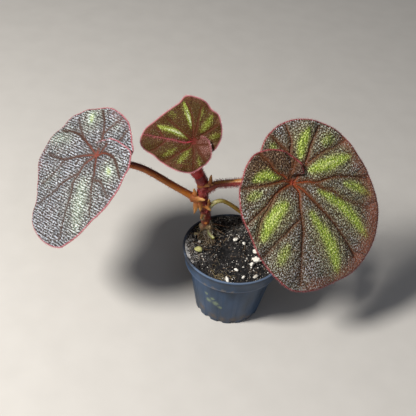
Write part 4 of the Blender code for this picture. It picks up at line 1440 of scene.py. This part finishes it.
def blade_fields(leaf, angle, radius):
    """What the blade is like at each place: distances in mm, the strength of its marks, and the
    height that its puckers, veins and pebbles give the face."""
    spots = flat(leaf, angle, radius)
    first, last = leaf.ends()
    round_edge = np.linspace(first, last, 1200)
    slit = np.linspace(LOBES_PART_RADIUS + 1, edge_radius(leaf, np.array([first, last])), 60)
    edges = [flat(leaf, round_edge, edge_radius(leaf, round_edge))]
    edges += [flat(leaf, np.full(60, end), slit[:, i]) for i, end in enumerate((first, last))]
    rim, _ = nearest(spots, np.vstack(edges))
    main, main_sizes = lines_on_blade(leaf, leaf.veins, 1.0, 0.7)
    side, side_sizes = lines_on_blade(leaf, leaf.branches, 0.62, 0.5)
    sizes = np.concatenate(main_sizes + side_sizes)
    distance, which = nearest(spots, np.vstack(main + side))
    size = sizes[which[:, 0]]
    vein = size * np.exp(-((distance[:, 0] / (0.25 + 0.4 * size)) ** 2))
    to_crease, _ = nearest(spots, creases(main + side))
    crease = np.exp(-((to_crease[:, 0] / 0.5) ** 2)) * smooth((distance[:, 0] - 0.3) / 1.5)
    top, shine = pebble_pattern(leaf, spots)
    rim = rim[:, 0]
    calm = smooth(rim / 1.2) * smooth((radius - 1.5) / 3) * smooth(distance[:, 0] / 0.9)
    pebble = top * calm * (1 - 0.6 * crease)
    between = 1 - np.exp(-((distance[:, 0] / 3.2) ** 1.5))
    wave = 0.5 * np.sin(np.radians(7 * angle + 40))
    wave += 0.3 * np.sin(np.radians(17 * angle + leaf.seed))
    wave = wave * smooth(1 - rim / (0.35 * radius + 1)) * smooth((radius - 6) / 6)
    body = leaf.puff * between * radius / (radius + 10) - VEIN_DEPTH * vein + wave
    body = body - 0.5 * np.exp(-((radius / 1.5) ** 2)) - 0.25 * np.exp(-((rim / 0.5) ** 2))
    body = body - 0.16 * crease - 0.2 * np.exp(-((to_crease[:, 0] / 1.3) ** 2)) * between
    thickness = MARGIN_THICKNESS + (BLADE_THICKNESS - MARGIN_THICKNESS) * (1 - np.exp(-rim / 1.5))
    rib = RIB_HEIGHT * size * np.exp(-((distance[:, 0] / (0.5 + 0.6 * size)) ** 2))
    rib = rib * smooth((radius - HUB_RADIUS) / 5) * smooth(rim / 3)
    swelling = HUB_SWELLING * smooth(1.5 - radius / HUB_RADIUS)
    return {
        "from_rim": rim,
        "from_hub": radius,
        "from_vein": distance[:, 0],
        "vein": vein,
        "crease": crease,
        "stripe": band_strength(leaf, leaf.stripes, spots),
        "halo": band_strength(leaf, leaf.stripes, spots, 2.7),
        "blush": band_strength(leaf, leaf.blushes, spots),
        "patch": band_strength(leaf, leaf.patches, spots),
        "pebble": pebble,
        "face": body + leaf.pebble[2] * pebble * (0.6 + 0.4 * shine),
        "back": body + 0.3 * leaf.pebble[2] * pebble - thickness - rib - swelling,
    }


def blade_rows(leaf, spacing):
    """Rows of places from the hub to the margin, a spacing apart along and between the rows."""
    angles, reach, travel = along_margin(leaf)
    rows = [(np.array([middle_and_half(leaf)[0]]), np.array([0.0]))]
    for part in np.linspace(0, 1, round(reach.max() / spacing)):
        share = (FIRST_ROW_RADIUS + (reach.mean() - FIRST_ROW_RADIUS) * part) / reach.mean()
        count = max(18, round(share * travel[-1] / spacing))
        angle = np.interp(np.linspace(0, travel[-1], count + 1), travel, angles)
        radius = FIRST_ROW_RADIUS + (edge_radius(leaf, angle) - FIRST_ROW_RADIUS) * part
        rows.append((angle, radius))
    return rows


def stitch(near, far):
    """Triangles between two rows of point numbers, whose counts may differ."""
    steps, sides = [], []
    for side, row in enumerate((near, far)):
        steps.append(np.arange(1, len(row)) / max(len(row) - 1, 1) + side * 1e-9)
        sides.append(np.full(len(row) - 1, side))
    side = np.concatenate(sides)[np.argsort(np.concatenate(steps), kind="stable")]
    on_near, on_far = np.cumsum(side == 0), np.cumsum(side == 1)
    third = np.where(side == 0, near[on_near], far[on_far])
    return np.column_stack([near[on_near - (side == 0)], far[on_far - (side == 1)], third])


def blade(leaf, name):
    """The blade as one closed mesh: a fine face, a coarser back, and the margin between them."""
    angles, radii, fronts, sheets, faces = [], [], [], [], []
    count = 0
    for front, spacing in ((True, leaf.spacing), (False, leaf.spacing * UNDER_COARSENESS)):
        rows = []
        for angle, radius in blade_rows(leaf, spacing):
            rows.append(np.arange(count, count + len(angle)))
            count += len(angle)
            angles.append(angle)
            radii.append(radius)
            fronts.append(np.full(len(angle), front))
        faces += [stitch(near, far) for near, far in zip(rows, rows[1:])]
        sheets.append(rows)
    face, back = sheets
    faces.append(stitch(face[-1], back[-1]))
    for end in (0, -1):
        faces.append(stitch(*(np.array([row[end] for row in sheet]) for sheet in sheets)))
    angle, radius, front = (np.concatenate(parts) for parts in (angles, radii, fronts))
    fields = blade_fields(leaf, angle, radius)
    height = np.where(front, fields.pop("face"), fields.pop("back"))
    mesh = bpy.data.meshes.new(name)
    spots = on_blade(leaf, angle, radius, height) * MM
    mesh.from_pydata(spots.tolist(), [], np.vstack(faces).tolist())
    thing = bpy.data.objects.new(name, mesh)
    bpy.context.scene.collection.objects.link(thing)
    edit(thing)
    close_up(thing, 75)
    note(thing, under=~front, lie=flat(leaf, angle, radius), **fields)
    return thing


def leaf_finish(name, colours, painted_glint, gloss, bare, grain):
    """A leaf's skin. The ground is the tops of its pebbles and the groove lies round them. The
    number after the colours is how strongly a painted glint of light shows on the very tips, gloss
    how much the skin itself shines, and bare how far from a vein the painted glints begin. Grain is
    the direction of the crinkles on the pebbles, from the blade's tip, with their length and width
    and how far they fall into rows."""
    material, tree, shader = finish(
        name,
        Roughness=0.5,
        Specular_IOR_Level=gloss,
        Sheen_Weight=0.03,
        Sheen_Roughness=0.4,
        Subsurface_Weight=0.05,
        Subsurface_Scale=0.4 * MM,
    )
    place = add(tree, "TexCoord").outputs["Object"]
    held = ("under", "from_rim", "from_hub", "from_vein", "vein", "crease", "stripe", "halo",
            "blush", "patch", "pebble")
    field = {key: add(tree, "Attribute", attribute_name=key).outputs["Fac"] for key in held}
    cloud = add(tree, "TexNoise", {"Vector": place, "Scale": 1 / (5 * MM), "Detail": 4.0})
    # The crinkles that break up the pebbles lie along the flat blade, a little warped
    lie = add(tree, "Attribute", attribute_name="lie").outputs["Vector"]
    warp = add(tree, "TexNoise", {"Vector": place, "Scale": 1 / (1.6 * MM), "Detail": 2.0})
    bent = (warp.outputs["Color"], (0.5, 0.5, 0), lie)
    bent = add(tree, "VectorMath", bent, operation="MULTIPLY_ADD")
    turn, length, width, lined = grain
    drawn = {"Vector": bent, "Rotation": (0, 0, math.radians(turn)), "Scale": (length, width, 1)}
    drawn = add(tree, "Mapping", drawn, vector_type="TEXTURE")
    cells = add(tree, "TexVoronoi", {"Vector": drawn, "Scale": 1.0}, voronoi_dimensions="2D")
    own = add(tree, "SeparateColor", {"Color": cells.outputs["Color"]})
    crinkle = add(tree, "TexNoise", {"Vector": drawn, "Scale": 1.0}, noise_dimensions="2D")
    rows = {"Vector": drawn, "Scale": 0.15, "Distortion": 6.0, "Detail Scale": 0.7}
    rows = add(tree, "TexWave", rows, bands_direction="Y").outputs["Fac"]
    top = add(tree, "Math", (rows, lined, crinkle), operation="MULTIPLY_ADD")
    top = add(tree, "MapRange", (top, 0.4 + 0.2 * lined, 0.7 + 0.6 * lined))
    uneven = add(tree, "Math", (field["pebble"], 0.2, top), operation="MULTIPLY_ADD")
    glint_per_cell = add(tree, "MapRange", (own, 0.0, 1.0, 0.8, 1.0))
    # Where the painted glints of light fall: the crinkles and the pebble tops, brighter in some cells
    painted_glint_spots = add(tree, "Math", (field["pebble"], 0.1, top), operation="MULTIPLY_ADD")
    painted_glint_spots = add(tree, "Math", (painted_glint_spots, glint_per_cell), operation="MULTIPLY")
    # How much of each colour shows: shares of other patterns join a field, and the sum is
    # stretched from (low, high) to (start, end)
    shows = {"under": field["under"]}
    for key, total, shares, limits in (
        ("high", uneven, (), (0.1, 0.9, 0.0, 1.0)),
        ("warm", cloud, (), (0.35, 0.65, 0.0, 1.0)),
        ("halo", field["halo"], (), (0.1, 0.75, 0.0, 0.8)),
        ("patch", field["patch"], ((0.3, cloud),), (0.25, 0.95, 0.0, 0.9)),
        ("stripe", field["stripe"], ((0.2, top), (0.35, cloud), (0.15, own)), (0.5, 1.25, 0.0, 0.95)),
        # stripe core: a painted highlight down the stripes' middles, while on the left leaf it is the
        # lime of the stripes
        ("stripe_core_and_highlight", field["stripe"], ((0.25, top),), (1.0, 1.3, 0.0, 0.6)),
        ("beside_vein", field["from_vein"], (), (0.2, 0.8 * bare, 0.6, 0.0)),
        ("round_hub", field["from_hub"], (), (2.0, 14.0, 0.6, 0.0)),
        ("blush", field["blush"], ((0.4, cloud),), (0.35, 1.1, 0.0, 0.8)),
        ("crease", field["crease"], (), (0.2, 0.9, 0.0, 0.7)),
        ("dip", field["vein"], (), (0.2, 0.5, 0.0, 0.75)),
        ("near_hub", field["from_hub"], (), (4.0, 17.0, 1.0, 0.0)),
        ("vein", field["vein"], (), (0.42, 0.8, 0.0, 0.9)),
        ("hub", field["from_hub"], (), (0.6, 2.6, 0.8, 0.0)),
        ("back_vein", field["vein"], (), (0.05, 0.5, 0.0, 0.9)),
        ("back_warm", cloud, (), (0.3, 0.8, 0.0, 0.5)),
    ):
        for share, source in shares:
            total = add(tree, "Math", (source, share, total), operation="MULTIPLY_ADD")
        shows[key] = add(tree, "MapRange", (total, *limits))
    # The painted glints on the tips, the glow beside the veins and the rim are weakened by each of
    # their own limits
    for key, parts in (
        (
            "tip",
            (
                (painted_glint_spots, 0.4, 0.9, 0.0, painted_glint),
                (shows["blush"], 0.0, 0.8, 1.0, 0.25),
                (field["from_vein"], 0.4, bare, 0.2, 1.0),
                (cloud, 0.35, 0.6, 0.55, 1.0),
                (field["from_hub"], 3.0, 13.0, 0.4, 1.0),
            ),
        ),
        (
            "glow",
            (
                (field["from_vein"], 0.3, 0.9 * bare, 0.8, 0.0),
                (field["from_hub"], 6.0, 34.0, 1.0, 0.2),
            ),
        ),
        (
            "rim",
            (
                (field["from_rim"], 0.1, 0.8, 0.85, 0.0),
                (field["from_hub"], 4.0, 13.0, 0.1, 1.0),
            ),
        ),
    ):
        limit, *others = (add(tree, "MapRange", part) for part in parts)
        for other in others:
            limit = add(tree, "Math", (limit, other), operation="MULTIPLY")
        shows[key] = limit
    # Hues that change over the blade: each starts as one colour and others go over it
    hues = {}
    for key, start, *covers in (
        ("low", "groove", (cloud, "groove_warm")),
        ("ground", "ground", (shows["warm"], "ground_warm"), (shows["halo"], "halo")),
        ("patch", "patch_groove", (shows["high"], "patch")),
        ("stripe", "stripe_groove", (shows["high"], "stripe")),
        # the colours of the painted glints, which change over the blade
        (
            "tip",
            "tip",
            (shows["halo"], "halo_glint"),
            (shows["patch"], "patch_glint"),
            (shows["stripe"], "stripe_glint"),
        ),
        ("vein", "vein_far", (shows["near_hub"], "vein")),
        ("back", "back", (shows["back_vein"], "back_vein"), (shows["back_warm"], "back_warm")),
    ):
        hues[key] = colours[start]
        for amount, above in covers:
            hues[key] = add(tree, "MixRGB", (amount, hues[key], colours[above]))
    skin = hues["low"]
    for key, hue in (
        ("high", hues["ground"]),
        ("patch", hues["patch"]),
        ("stripe", hues["stripe"]),
        ("stripe_core_and_highlight", colours["stripe_core_and_highlight"]),
        ("beside_vein", colours["groove_warm"]),
        ("round_hub", colours["groove_warm"]),
        ("blush", colours["blush"]),
        ("tip", hues["tip"]),
        ("crease", colours["groove"]),
        ("dip", colours["groove_warm"]),
        ("glow", colours["vein_glow"]),
        ("vein", hues["vein"]),
        ("hub", colours["hub"]),
        ("rim", colours["rim"]),
        ("under", hues["back"]),
    ):
        skin = add(tree, "MixRGB", (shows[key], skin, hue))
    rough = add(tree, "MapRange", (uneven, 0.5, 1.3, 0.65, 0.4))
    relief = add(tree, "Bump", {"Height": uneven, "Strength": 0.6, "Distance": 0.13 * MM})
    set_sockets(tree, shader, Base_Color=skin, Roughness=rough, Normal=relief)
    return material


def pebble_hairs(leaf, name, share, lengths, tones):
    """A short hair on the top of most pebbles, leaning a little outwards."""
    angle, radius = pebble_places(leaf)
    draw = np.random.default_rng(leaf.seed + 1)
    kept = draw.random(len(angle)) < share
    angle, radius = angle[kept], radius[kept]
    height = blade_fields(leaf, angle, radius)["face"]
    starts = on_blade(leaf, angle, radius, height - HAIR_ROOT)
    lean, twist = draw.normal(0.2, 0.3, (2, len(angle)))
    size = draw.uniform(*lengths, len(angle))
    turned = angle + np.degrees(twist * size / radius)
    runs = on_blade(leaf, turned, radius + lean * size, height + size) - starts
    plant_hairs(name, starts, runs, 1, tones, leaf.seed, draw)


def margin_hairs(leaf, name, gap, lengths, tones):
    """The red fringe of hairs that stands out from the margin."""
    angles, _, travel = along_margin(leaf)
    angle = np.interp(np.arange(gap, travel[-1], gap), travel, angles)
    draw = np.random.default_rng(leaf.seed + 2)
    radius = edge_radius(leaf, angle)
    height = blade_fields(leaf, angle, radius)["face"] - MARGIN_THICKNESS / 2
    size = draw.uniform(*lengths, len(angle))
    twist, rise = draw.normal(0, 0.3, (2, len(angle)))
    starts = on_blade(leaf, angle, radius - 0.12, height)
    turned = angle + np.degrees(twist * size / radius)
    runs = on_blade(leaf, turned, radius + size, height + rise * size) - starts
    plant_hairs(name, starts, runs, 1.2, tones, leaf.seed, draw)


# The tip colours are painted glints of light on the pebbles, and the stripe core colour is a painted
# highlight down the stripes' middles
MATURE_COLOURS = {
    "ground": "#75725a",
    "ground_warm": "#6e5a38",
    "groove": "#241a10",
    "groove_warm": "#40210e",
    "halo": "#9a9664",
    "halo_glint": "#c8cca6",
    "stripe": "#b4ce36",
    "stripe_groove": "#6c861c",
    "stripe_glint": "#e6eda4",
    "stripe_core_and_highlight": "#e6eda4",
    "blush": "#864f3c",
    "patch": "#502f12",
    "patch_groove": "#2a1406",
    "patch_glint": "#8e7350",
    "hub": "#963c18",
    "vein": "#8c3c18",
    "vein_glow": "#663a1a",
    "vein_far": "#573014",
    "rim": "#962e3e",
    "tip": "#d2d9e6",
    "back": "#7a6a48",
    "back_warm": "#7d4a3a",
    "back_vein": "#8a3b2c",
}
right = blade(RIGHT, "right_blade")
grain = (5, 0.9, 0.65, 0.0)
mature_skin = leaf_finish("pebbled_leaf_skin", MATURE_COLOURS, 0.95, 0.35, 2.7, grain)
right.data.materials.append(mature_skin)
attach(right, "root")
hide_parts("leaf_right")
pebble_hairs(RIGHT, "right_blade_hairs", 0.8, (0.4, 0.8), (0.0, 0.25))
margin_hairs(RIGHT, "right_margin_hairs", 0.4, (0.4, 0.9), (0.6, 1.0))


# Left leaf: as old as the right one and turned to the light. Its pebbles are drawn out across the
# veins. The silver shine of its pebbles and the pale green of its stripes are painted reflection in
# its colours.
LEFT = Leaf(
    hub=(-81, 4, 100),
    facing=-60,
    rise=45,
    turn=-96,
    hand=1,
    crown=(2.5, 10),
    droop=0.0016,
    puff=1.3,
    lobe_lift=2.25,
    outline=(
        (-236, 23), (-223, 26.5), (-205, 25.5), (-175, 25.5), (-150, 26.5), (-127, 28.6),
        (-111, 30.5), (-98, 33.4), (-87, 36.8), (-70, 42), (-55, 46), (-40, 47), (-25, 46),
        (-13, 47), (-3, 52), (8, 55.5), (22, 56), (35, 54.8), (45, 51), (55, 45.5), (65, 41),
        (80, 36.5), (100, 33), (120, 30.8), (135, 28), (147, 21.5), (160, 16.5), (177, 11.5),
        (198, 7.5), (226, 5.5),
    ),
    veins=(
        ((-144, 7), (-143, 12), (-135, 19), (-124, 27)),
        ((-82, 9), (-81, 15), (-79, 22), (-74, 30), (-69, 39)),
        ((-40, 6), (-37, 12), (-37, 24), (-46, 40)),
        ((2, 8), (14, 14), (18, 20), (25, 25), (28, 31), (33, 50)),
        ((67, 6), (67, 14), (63, 20), (61, 38)),
        ((141, 6), (129, 13), (120, 19), (105, 29)),
        ((-190, 5), (-197, 16), (-189, 23)),
        ((165, 4), (165, 10)),
    ),
    branches=(
        ((-83, 14), (-85, 21), (-89, 31)),
        ((14, 14), (-1, 25), (-2, 34), (-6, 47)),
        ((70, 18), (80, 21), (83, 32)),
        ((-37, 22), (-22, 33), (-20, 42)),
        ((-143, 12), (-158, 18), (-164, 24)),
    ),
    stripes=(
        (3.2, 1.25, ((-108, 20), (-110, 28))),
        (4.6, 0.55, ((-59, 43), (-63, 34), (-64, 24))),
        (5.4, 0.75, ((49, 44), (46, 28), (41, 16))),
        (2.8, 1.25, ((99, 23), (104, 17))),
        (4.2, 0.3, ((-18, 42), (-18, 26))),
        (3.0, 0.35, ((-166, 18), (-172, 21))),
    ),
    blushes=(
        (5.0, 0.5, ((-190, 25), (-165, 25), (-140, 26))),
        (3.0, 0.35, ((60, 43), (90, 34), (120, 30))),
        (2.6, 0.5, ((-120, 29), (-90, 36), (-60, 45), (-25, 46), (0, 52))),
    ),
    patches=(),
    pebble=(1.6, 2.6, 0.34, 0.4),
    spacing=0.4,
    seed=61,
)
# The right leaf's colours made greyer and paler: painted reflection of the light, which silvers the
# blade
SHEEN_PAINTED_COLOURS = {
    **MATURE_COLOURS,
    "ground": "#606368",
    "ground_warm": "#5e5957",
    "groove": "#1f1b1e",
    "groove_warm": "#36261f",
    "halo": "#74786f",
    "halo_glint": "#bcc4be",
    "stripe": "#929f92",
    "stripe_groove": "#5d6a58",
    "stripe_glint": "#d8dfe0",
    "stripe_core_and_highlight": "#a0b464",
    "blush": "#734c50",
    "hub": "#7c3528",
    "vein": "#6e3426",
    "vein_glow": "#52372f",
    "vein_far": "#382015",
    "rim": "#b3606e",
    "tip": "#bfc7d4",
}
left = blade(LEFT, "left_blade")
grain = (118, 1.6, 0.7, 0.2)
sheen_painted_skin = leaf_finish("leaf_skin_with_painted_sheen", SHEEN_PAINTED_COLOURS, 0.9, 0.35, 1.5, grain)
left.data.materials.append(sheen_painted_skin)
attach(left, "root")
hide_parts("leaf_left")
pebble_hairs(LEFT, "left_blade_hairs", 0.8, (0.4, 0.8), (0.0, 0.2))
margin_hairs(LEFT, "left_margin_hairs", 0.42, (0.3, 0.7), (0.4, 0.8))


# Young leaf: still small, soft and red brown, with a velvet nap in place of pebbles. Its lime
# stripes are narrow, with a painted highlight down their middles, its midrib is pink and its front
# lobe is still folded pale.
YOUNG = Leaf(
    hub=(-28.6, 4, 115.5),
    facing=-10,
    rise=35,
    turn=-168,
    hand=1,
    crown=(1.5, 7),
    droop=0.002,
    puff=0.7,
    lobe_lift=1.9,
    outline=(
        (-226, 9.8), (-205, 12.2), (-185, 14), (-165, 16), (-150, 17.6), (-135, 19.4),
        (-120, 19.6), (-108, 22), (-95, 23.4), (-80, 24.4), (-69, 21.8), (-55, 21.3), (-40, 22),
        (-26, 24.2), (-12, 28), (0, 29.3), (8, 27.8), (19, 23.3), (30, 21.5), (45, 19.4), (65, 18),
        (85, 17.2), (103, 15.2), (134, 13.2), (157, 10.7), (180, 8.6), (205, 6), (232, 4.5),
    ),
    veins=(((8, 5), (-4, 11), (-6, 16), (-8, 28)),),
    branches=(
        ((-5, 14), (10, 20), (12, 24)),
        ((-6, 16), (-20, 21), (-24, 23)),
        ((-42, 5), (-41, 18)),
        ((-89, 7), (-87, 14), (-81, 21)),
        ((-112, 5), (-104, 18)),
        ((-148, 9), (-148, 15)),
        ((66, 4), (40, 9), (36, 16), (33, 20)),
        ((94, 6), (89, 16)),
        ((126, 5), (122, 13)),
        ((165, 3), (165, 8)),
        ((-195, 5), (-195, 11)),
    ),
    stripes=(
        (1.5, 1.15, ((-89, 6), (-80, 13), (-76, 21))),
        (1.7, 1.15, ((-30, 4), (-29, 10), (-23, 21))),
        (2.0, 0.7, ((-134, 6), (-131, 11), (-128, 17))),
        (1.6, 0.4, ((-108, 11), (-107, 19))),
        (2.0, 0.7, ((70, 3), (59, 8), (54, 14))),
        (1.8, 0.5, ((23, 10), (25, 19))),
        (2.0, 0.5, ((-171, 8), (-168, 15))),
        (2.3, 0.35, ((-50, 20), (-56, 16))),
        (1.6, 0.4, ((109, 8), (105, 14))),
    ),
    blushes=(
        (2.2, 0.5, ((-150, 17), (-120, 19), (-80, 24), (-40, 22), (0, 29), (30, 21), (100, 15))),
    ),
    patches=((6.0, 1.0, ((140, 9), (170, 7), (210, 5))),),
    pebble=(1.9, 0.8, 0.1, 0.15),
    spacing=0.33,
    seed=71,
)
# The tip colours here are painted glints, and the stripe core colour is a painted highlight
YOUNG_COLOURS = {
    "ground": "#3a300e",
    "ground_warm": "#3e2109",
    "groove": "#38210a",
    "groove_warm": "#401f0b",
    "halo": "#4c4214",
    "halo_glint": "#7c7440",
    "stripe": "#8c9e22",
    "stripe_groove": "#5f6c14",
    "stripe_glint": "#dde4b4",
    "stripe_core_and_highlight": "#e4ead0",
    "blush": "#66332a",
    "patch": "#8a5f58",
    "patch_groove": "#5e302a",
    "patch_glint": "#b59a94",
    "hub": "#5e1c18",
    "vein": "#983440",
    "vein_glow": "#4e2716",
    "vein_far": "#a8525c",
    "rim": "#b3707c",
    "tip": "#8a7448",
    "back": "#7d4a3c",
    "back_warm": "#8a3f3c",
    "back_vein": "#a04a44",
}
young = blade(YOUNG, "young_blade")
grain = (0, 0.7, 0.6, 0.0)
velvet_skin = leaf_finish("velvet_leaf_skin", YOUNG_COLOURS, 0.4, 0.12, 1.2, grain)
young.data.materials.append(velvet_skin)
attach(young, "root")
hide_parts("leaf_young")
pebble_hairs(YOUNG, "young_blade_hairs", 0.7, (0.35, 0.8), (0.1, 0.6))
margin_hairs(YOUNG, "young_margin_hairs", 0.33, (0.3, 0.8), (0.35, 0.7))
# A comb of pink hairs leans over the midrib from both sides
COMB_COUNT = 260
draw = np.random.default_rng(73)
radius = draw.uniform(4, 27, COMB_COUNT)
midrib = np.interp(radius, (4, 11, 16, 28), (6, -4, -6, -8))
angle = midrib + np.degrees(draw.normal(0, 0.45, COMB_COUNT) / radius)
starts = on_blade(YOUNG, angle, radius, blade_fields(YOUNG, angle, radius)["face"] - 0.05)
out, _, sideways = blade_axes(YOUNG.facing, YOUNG.rise, YOUNG.turn)
runs = sideways * draw.choice([-1, 1], (COMB_COUNT, 1)) * draw.uniform(0.5, 1.1, (COMB_COUNT, 1))
runs += out * draw.uniform(0.3, 0.7, (COMB_COUNT, 1))
plant_hairs("young_midrib_hairs", starts, runs, 1.3, (0.5, 0.8), 73, draw)


# Lower leaf: a smaller mature blade on a thin stalk, behind the right one, which hides it from
# the front. It is finished like the others.
LOWER = Leaf(
    hub=(35, 14, 51),
    facing=60,
    rise=50,
    turn=-88,
    hand=1,
    crown=(1.8, 8),
    droop=0.002,
    puff=0.8,
    lobe_lift=1.9,
    outline=(
        (-216, 13.5), (-180, 17.5), (-145, 19.5), (-110, 21.5), (-80, 23.5), (-50, 25.5),
        (-25, 29.5), (-5, 33.5), (10, 31.5), (30, 26.5), (60, 22.5), (95, 19.5), (130, 18),
        (160, 14.5), (195, 9.5), (228, 5.5),
    ),
    veins=tuple(
        ((angle, 4), (angle * 0.97, reach * 0.5), (angle * 0.99, reach))
        for angle, reach in (
            (-185, 15), (-140, 17), (-100, 19), (-62, 22), (-28, 26), (-3, 30), (30, 24), (70, 19),
            (110, 17), (150, 13), (190, 7),
        )
    ),
    branches=(((-28, 12), (-40, 19), (-45, 23)), ((30, 11), (46, 17), (50, 21))),
    stripes=tuple(
        (2.2, strength, ((angle, 8), (angle * 0.98, reach)))
        for angle, reach, strength in (
            (-120, 16, 0.9), (-80, 18, 0.7), (-45, 19, 0.95), (-15, 24, 0.7), (14, 24, 0.95),
            (50, 18, 0.8), (90, 15, 0.9), (-162, 14, 0.5),
        )
    ),
    blushes=((3.0, 0.7, ((-100, 22), (-50, 25), (-5, 33), (30, 26))),),
    patches=(),
    pebble=(1.3, 1.7, 0.4, 0.8),
    spacing=0.5,
    seed=81,
)
lower = blade(LOWER, "lower_blade")
lower.data.materials.append(mature_skin)
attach(lower, "root")
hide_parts("leaf_lower")
pebble_hairs(LOWER, "lower_blade_hairs", 0.6, (0.4, 0.8), (0.0, 0.25))
margin_hairs(LOWER, "lower_margin_hairs", 0.5, (0.5, 1.0), (0.5, 0.9))


# Stage: a plain pale floor, a large soft light from the left, which falls full on the left leaf
# (whose silver is painted into its skin) and leaves the pot's right side dark, and a weak fill. The
# camera stands where the photograph's did.
start_fresh()
bpy.ops.mesh.primitive_plane_add(size=6)
floor = bpy.context.object
floor.name = "floor"
paper, tree, shader = finish("matt_paper_backdrop", Roughness=0.9, Specular_IOR_Level=0.2)
place = add(tree, "TexCoord").outputs["Object"]
tooth = add(tree, "TexNoise", {"Vector": place, "Scale": 1 / (20 * MM), "Detail": 2.0})
white = add(tree, "ValToRGB", (tooth,), [(0.3, "#c6c4c1"), (0.7, "#cac8c5")])
set_sockets(tree, shader, Base_Color=white)
floor.data.materials.append(paper)

AIM = Vector((-15, 0, 70)) * MM


def soft_light(name, place, size, power, colour):
    bpy.ops.object.light_add(type="AREA", location=Vector(place) * MM)
    light = bpy.context.object
    light.name = name
    light.data.shape = "DISK"
    light.data.size = size * MM
    light.data.energy = power
    light.data.color = tint(colour)[:3]
    light.rotation_euler = (AIM - light.location).to_track_quat("-Z", "Y").to_euler()


soft_light("key_light", (-505, -290, 640), 220, 10.2, "#fffaf2")
soft_light("fill_light", (200, -500, 760), 500, 0.6, "#e6eeff")
sky = bpy.data.worlds.new("studio_sky")
sky.use_nodes = True
sky.node_tree.nodes["Background"].inputs["Color"].default_value = tint("#e9eaee")
sky.node_tree.nodes["Background"].inputs["Strength"].default_value = 0.13
bpy.context.scene.world = sky

CAMERA_PLACE = (-17.4, -344.7, 365.5)
CAMERA_PITCH = 40.3
CAMERA_ROLL = 5.7
LENS = 69.23
camera = bpy.data.objects.new("camera", bpy.data.cameras.new("camera"))
camera.data.lens = LENS
camera.data.sensor_width = 36
camera.data.clip_start = 0.02
camera.matrix_world = (
    Matrix.Translation(Vector(CAMERA_PLACE) * MM)
    @ Matrix.Rotation(math.radians(90 - CAMERA_PITCH), 4, "X")
    @ Matrix.Rotation(math.radians(CAMERA_ROLL), 4, "Z")
)
bpy.context.scene.collection.objects.link(camera)
bpy.context.scene.camera = camera
bpy.context.scene.view_settings.view_transform = "Standard"
